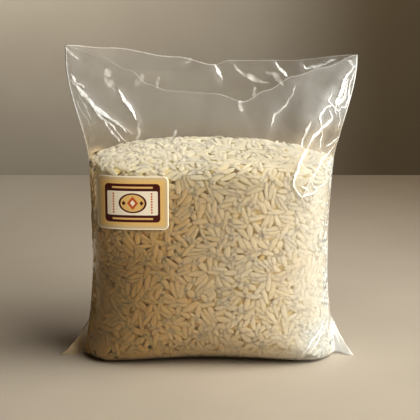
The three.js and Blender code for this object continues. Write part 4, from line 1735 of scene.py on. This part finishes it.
@dataclass
class Studio:
    """A pale floor and a wall, the floor darker towards the back and right and the wall darker to the right
    by painted falloff of light, soft lights and the camera.
    """

    rise: float = 14.0
    distance: float = 560.0
    aim_height: float = 63.0
    pixel: float = 0.42
    frame_pixels: int = 420
    sensor: float = 36.0
    contrast: float = 0.8
    floor: tuple[float, ...] = (-900.0, 900.0, -700.0, 352.0)
    wall: tuple[float, ...] = (-1600.0, 1600.0, -500.0, 1400.0)
    wall_distance: float = 900.0
    sky: tuple[float, ...] = (1.0, 0.58, 0.25, 1.0)
    sky_strength: float = 0.06
    clear_bounces: int = 24

    def painted_falloff(self, name: str, near: tuple[float, float, float], far: tuple[float, float, float],
              way: tuple[float, float, float], span: tuple[float, float],
              rough: float) -> bpy.types.Material:
        """Makes a matte material that turns from one colour to another, used for a painted falloff of
        light.

        Args:
            name: the material's name.
            near: the colour before the span.
            far: the colour after the span.
            way: the direction of the change.
            span: where the change starts and ends, in metres.
            rough: its roughness.

        Returns:
            The material.
        """
        graph = Graph(name)
        place = graph.place()
        dot = graph.vector("DOT_PRODUCT", place, way).socket.node
        change = Signal(graph, dot.outputs["Value"]).ramp(*span)
        mottle = graph.noise(place, 0.05, 4.0) * 0.12 + 0.94
        shade = graph.scaled(graph.blend(change, near, far), mottle)
        made = graph.node("BsdfPrincipled", None, Base_Color=shade, Roughness=rough)
        return graph.surface(made.outputs[0])

    def sheet(self, name: str, edges: tuple[float, ...], standing: bool,
              material: bpy.types.Material) -> None:
        """Adds a flat stage sheet, on the floor's height or standing at the wall's distance.

        Args:
            name: the sheet's name.
            edges: its left, right, near or low, and far or high edge in millimetres.
            standing: True for the wall.
            material: its finish.
        """
        left, right, low, high = edges
        corners = np.array([[left, low, 0], [right, low, 0], [right, high, 0], [left, high, 0]])
        if standing:
            corners = corners[:, [0, 2, 1]] + (0, self.wall_distance, 0)
        piece = make_mesh(name, corners, [np.array([[0, 1, 2, 3]])])
        piece.data.materials.append(material)

    def lamp(self, name: str, place: tuple[float, float, float], size: float, power: float,
             colour: tuple[float, float, float], aim: tuple[float, float, float] = (0, 0, 0.06)) -> None:
        """Adds a soft square lamp that looks at a point, in metres and watts."""
        light = bpy.data.lights.new(name, "AREA")
        light.size, light.energy, light.color = size, power, colour
        lamp = bpy.data.objects.new(name, light)
        lamp.location = place
        lamp.rotation_euler = (Vector(aim) - Vector(place)).to_track_quat("-Z", "Y").to_euler()
        bpy.context.scene.collection.objects.link(lamp)

    def camera(self) -> None:
        """Places the camera at the photograph's angle and distance."""
        angle = math.radians(self.rise)
        view = bpy.data.cameras.new("camera")
        view.sensor_width = self.sensor
        view.lens = self.sensor * (self.distance / self.pixel) / self.frame_pixels
        camera = bpy.data.objects.new("camera", view)
        aim = Vector((0, 0, self.aim_height * MM))
        back = Vector((0, -math.cos(angle), math.sin(angle))) * self.distance * MM
        camera.location = aim + back
        camera.rotation_euler = (-back).to_track_quat("-Z", "Y").to_euler()
        bpy.context.scene.collection.objects.link(camera)
        bpy.context.scene.camera = camera

    def build(self) -> None:
        """Adds the stage, the lamps, the world and the camera."""
        # The floor's and the wall's colour changes are painted falloff of light.
        pale = self.painted_falloff("pale_floor", near=(0.475, 0.44, 0.385), far=(0.20, 0.155, 0.105),
                          way=(1.0, 1.0, 0.0), span=(0.14, 0.6), rough=0.65)
        painted_falloff = self.painted_falloff("wall_with_painted_falloff", near=(0.325, 0.3, 0.26), far=(0.132, 0.102, 0.062),
                           way=(1.0, 0.0, 0.0), span=(0.02, 0.2), rough=0.9)
        self.sheet("pale_floor", self.floor, False, pale)
        self.sheet("wall_with_painted_falloff", self.wall, True, painted_falloff)
        self.lamp("key", place=(0.578, -0.262, 0.570), size=0.85, power=15.8, colour=(1.0, 0.955, 0.87))
        self.lamp("wall_wash", place=(-0.24, 0.62, 0.27), size=0.3, power=2.1,
                  colour=(1.0, 0.95, 0.86), aim=(-0.14, 0.9, 0.27))
        world = bpy.data.worlds.new("world")
        world.use_nodes = True
        background = world.node_tree.nodes["Background"].inputs
        background["Color"].default_value = self.sky
        background["Strength"].default_value = self.sky_strength
        scene = bpy.context.scene
        scene.world = world
        scene.view_settings.view_transform = "Standard"
        scene.view_settings.gamma = self.contrast
        scene.cycles.transparent_max_bounces = self.clear_bounces
        self.camera()


def place_piece(piece: bpy.types.Object, node: str) -> None:
    """Hangs a piece on the part's one body in the place of a node.

    Args:
        piece: the finished piece.
        node: the solid that it stands for.
    """
    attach(piece, "root")
    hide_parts(node)
    LOG.info("%s stands for %s with %d faces", piece.name, node, len(piece.data.polygons))


def main() -> None:
    logging.basicConfig(level=logging.INFO, format="%(message)s")
    Studio().build()
    heap = RiceHeap()
    place_piece(heap.core(), "rice")
    place_piece(heap.grains(), "rice")
    film = Film()
    place_piece(film.build(), "bag")
    place_piece(FoldLines(film).build(), "bag")
    place_piece(Sticker().build(), "sticker")


if __name__ == "__main__":
    main()
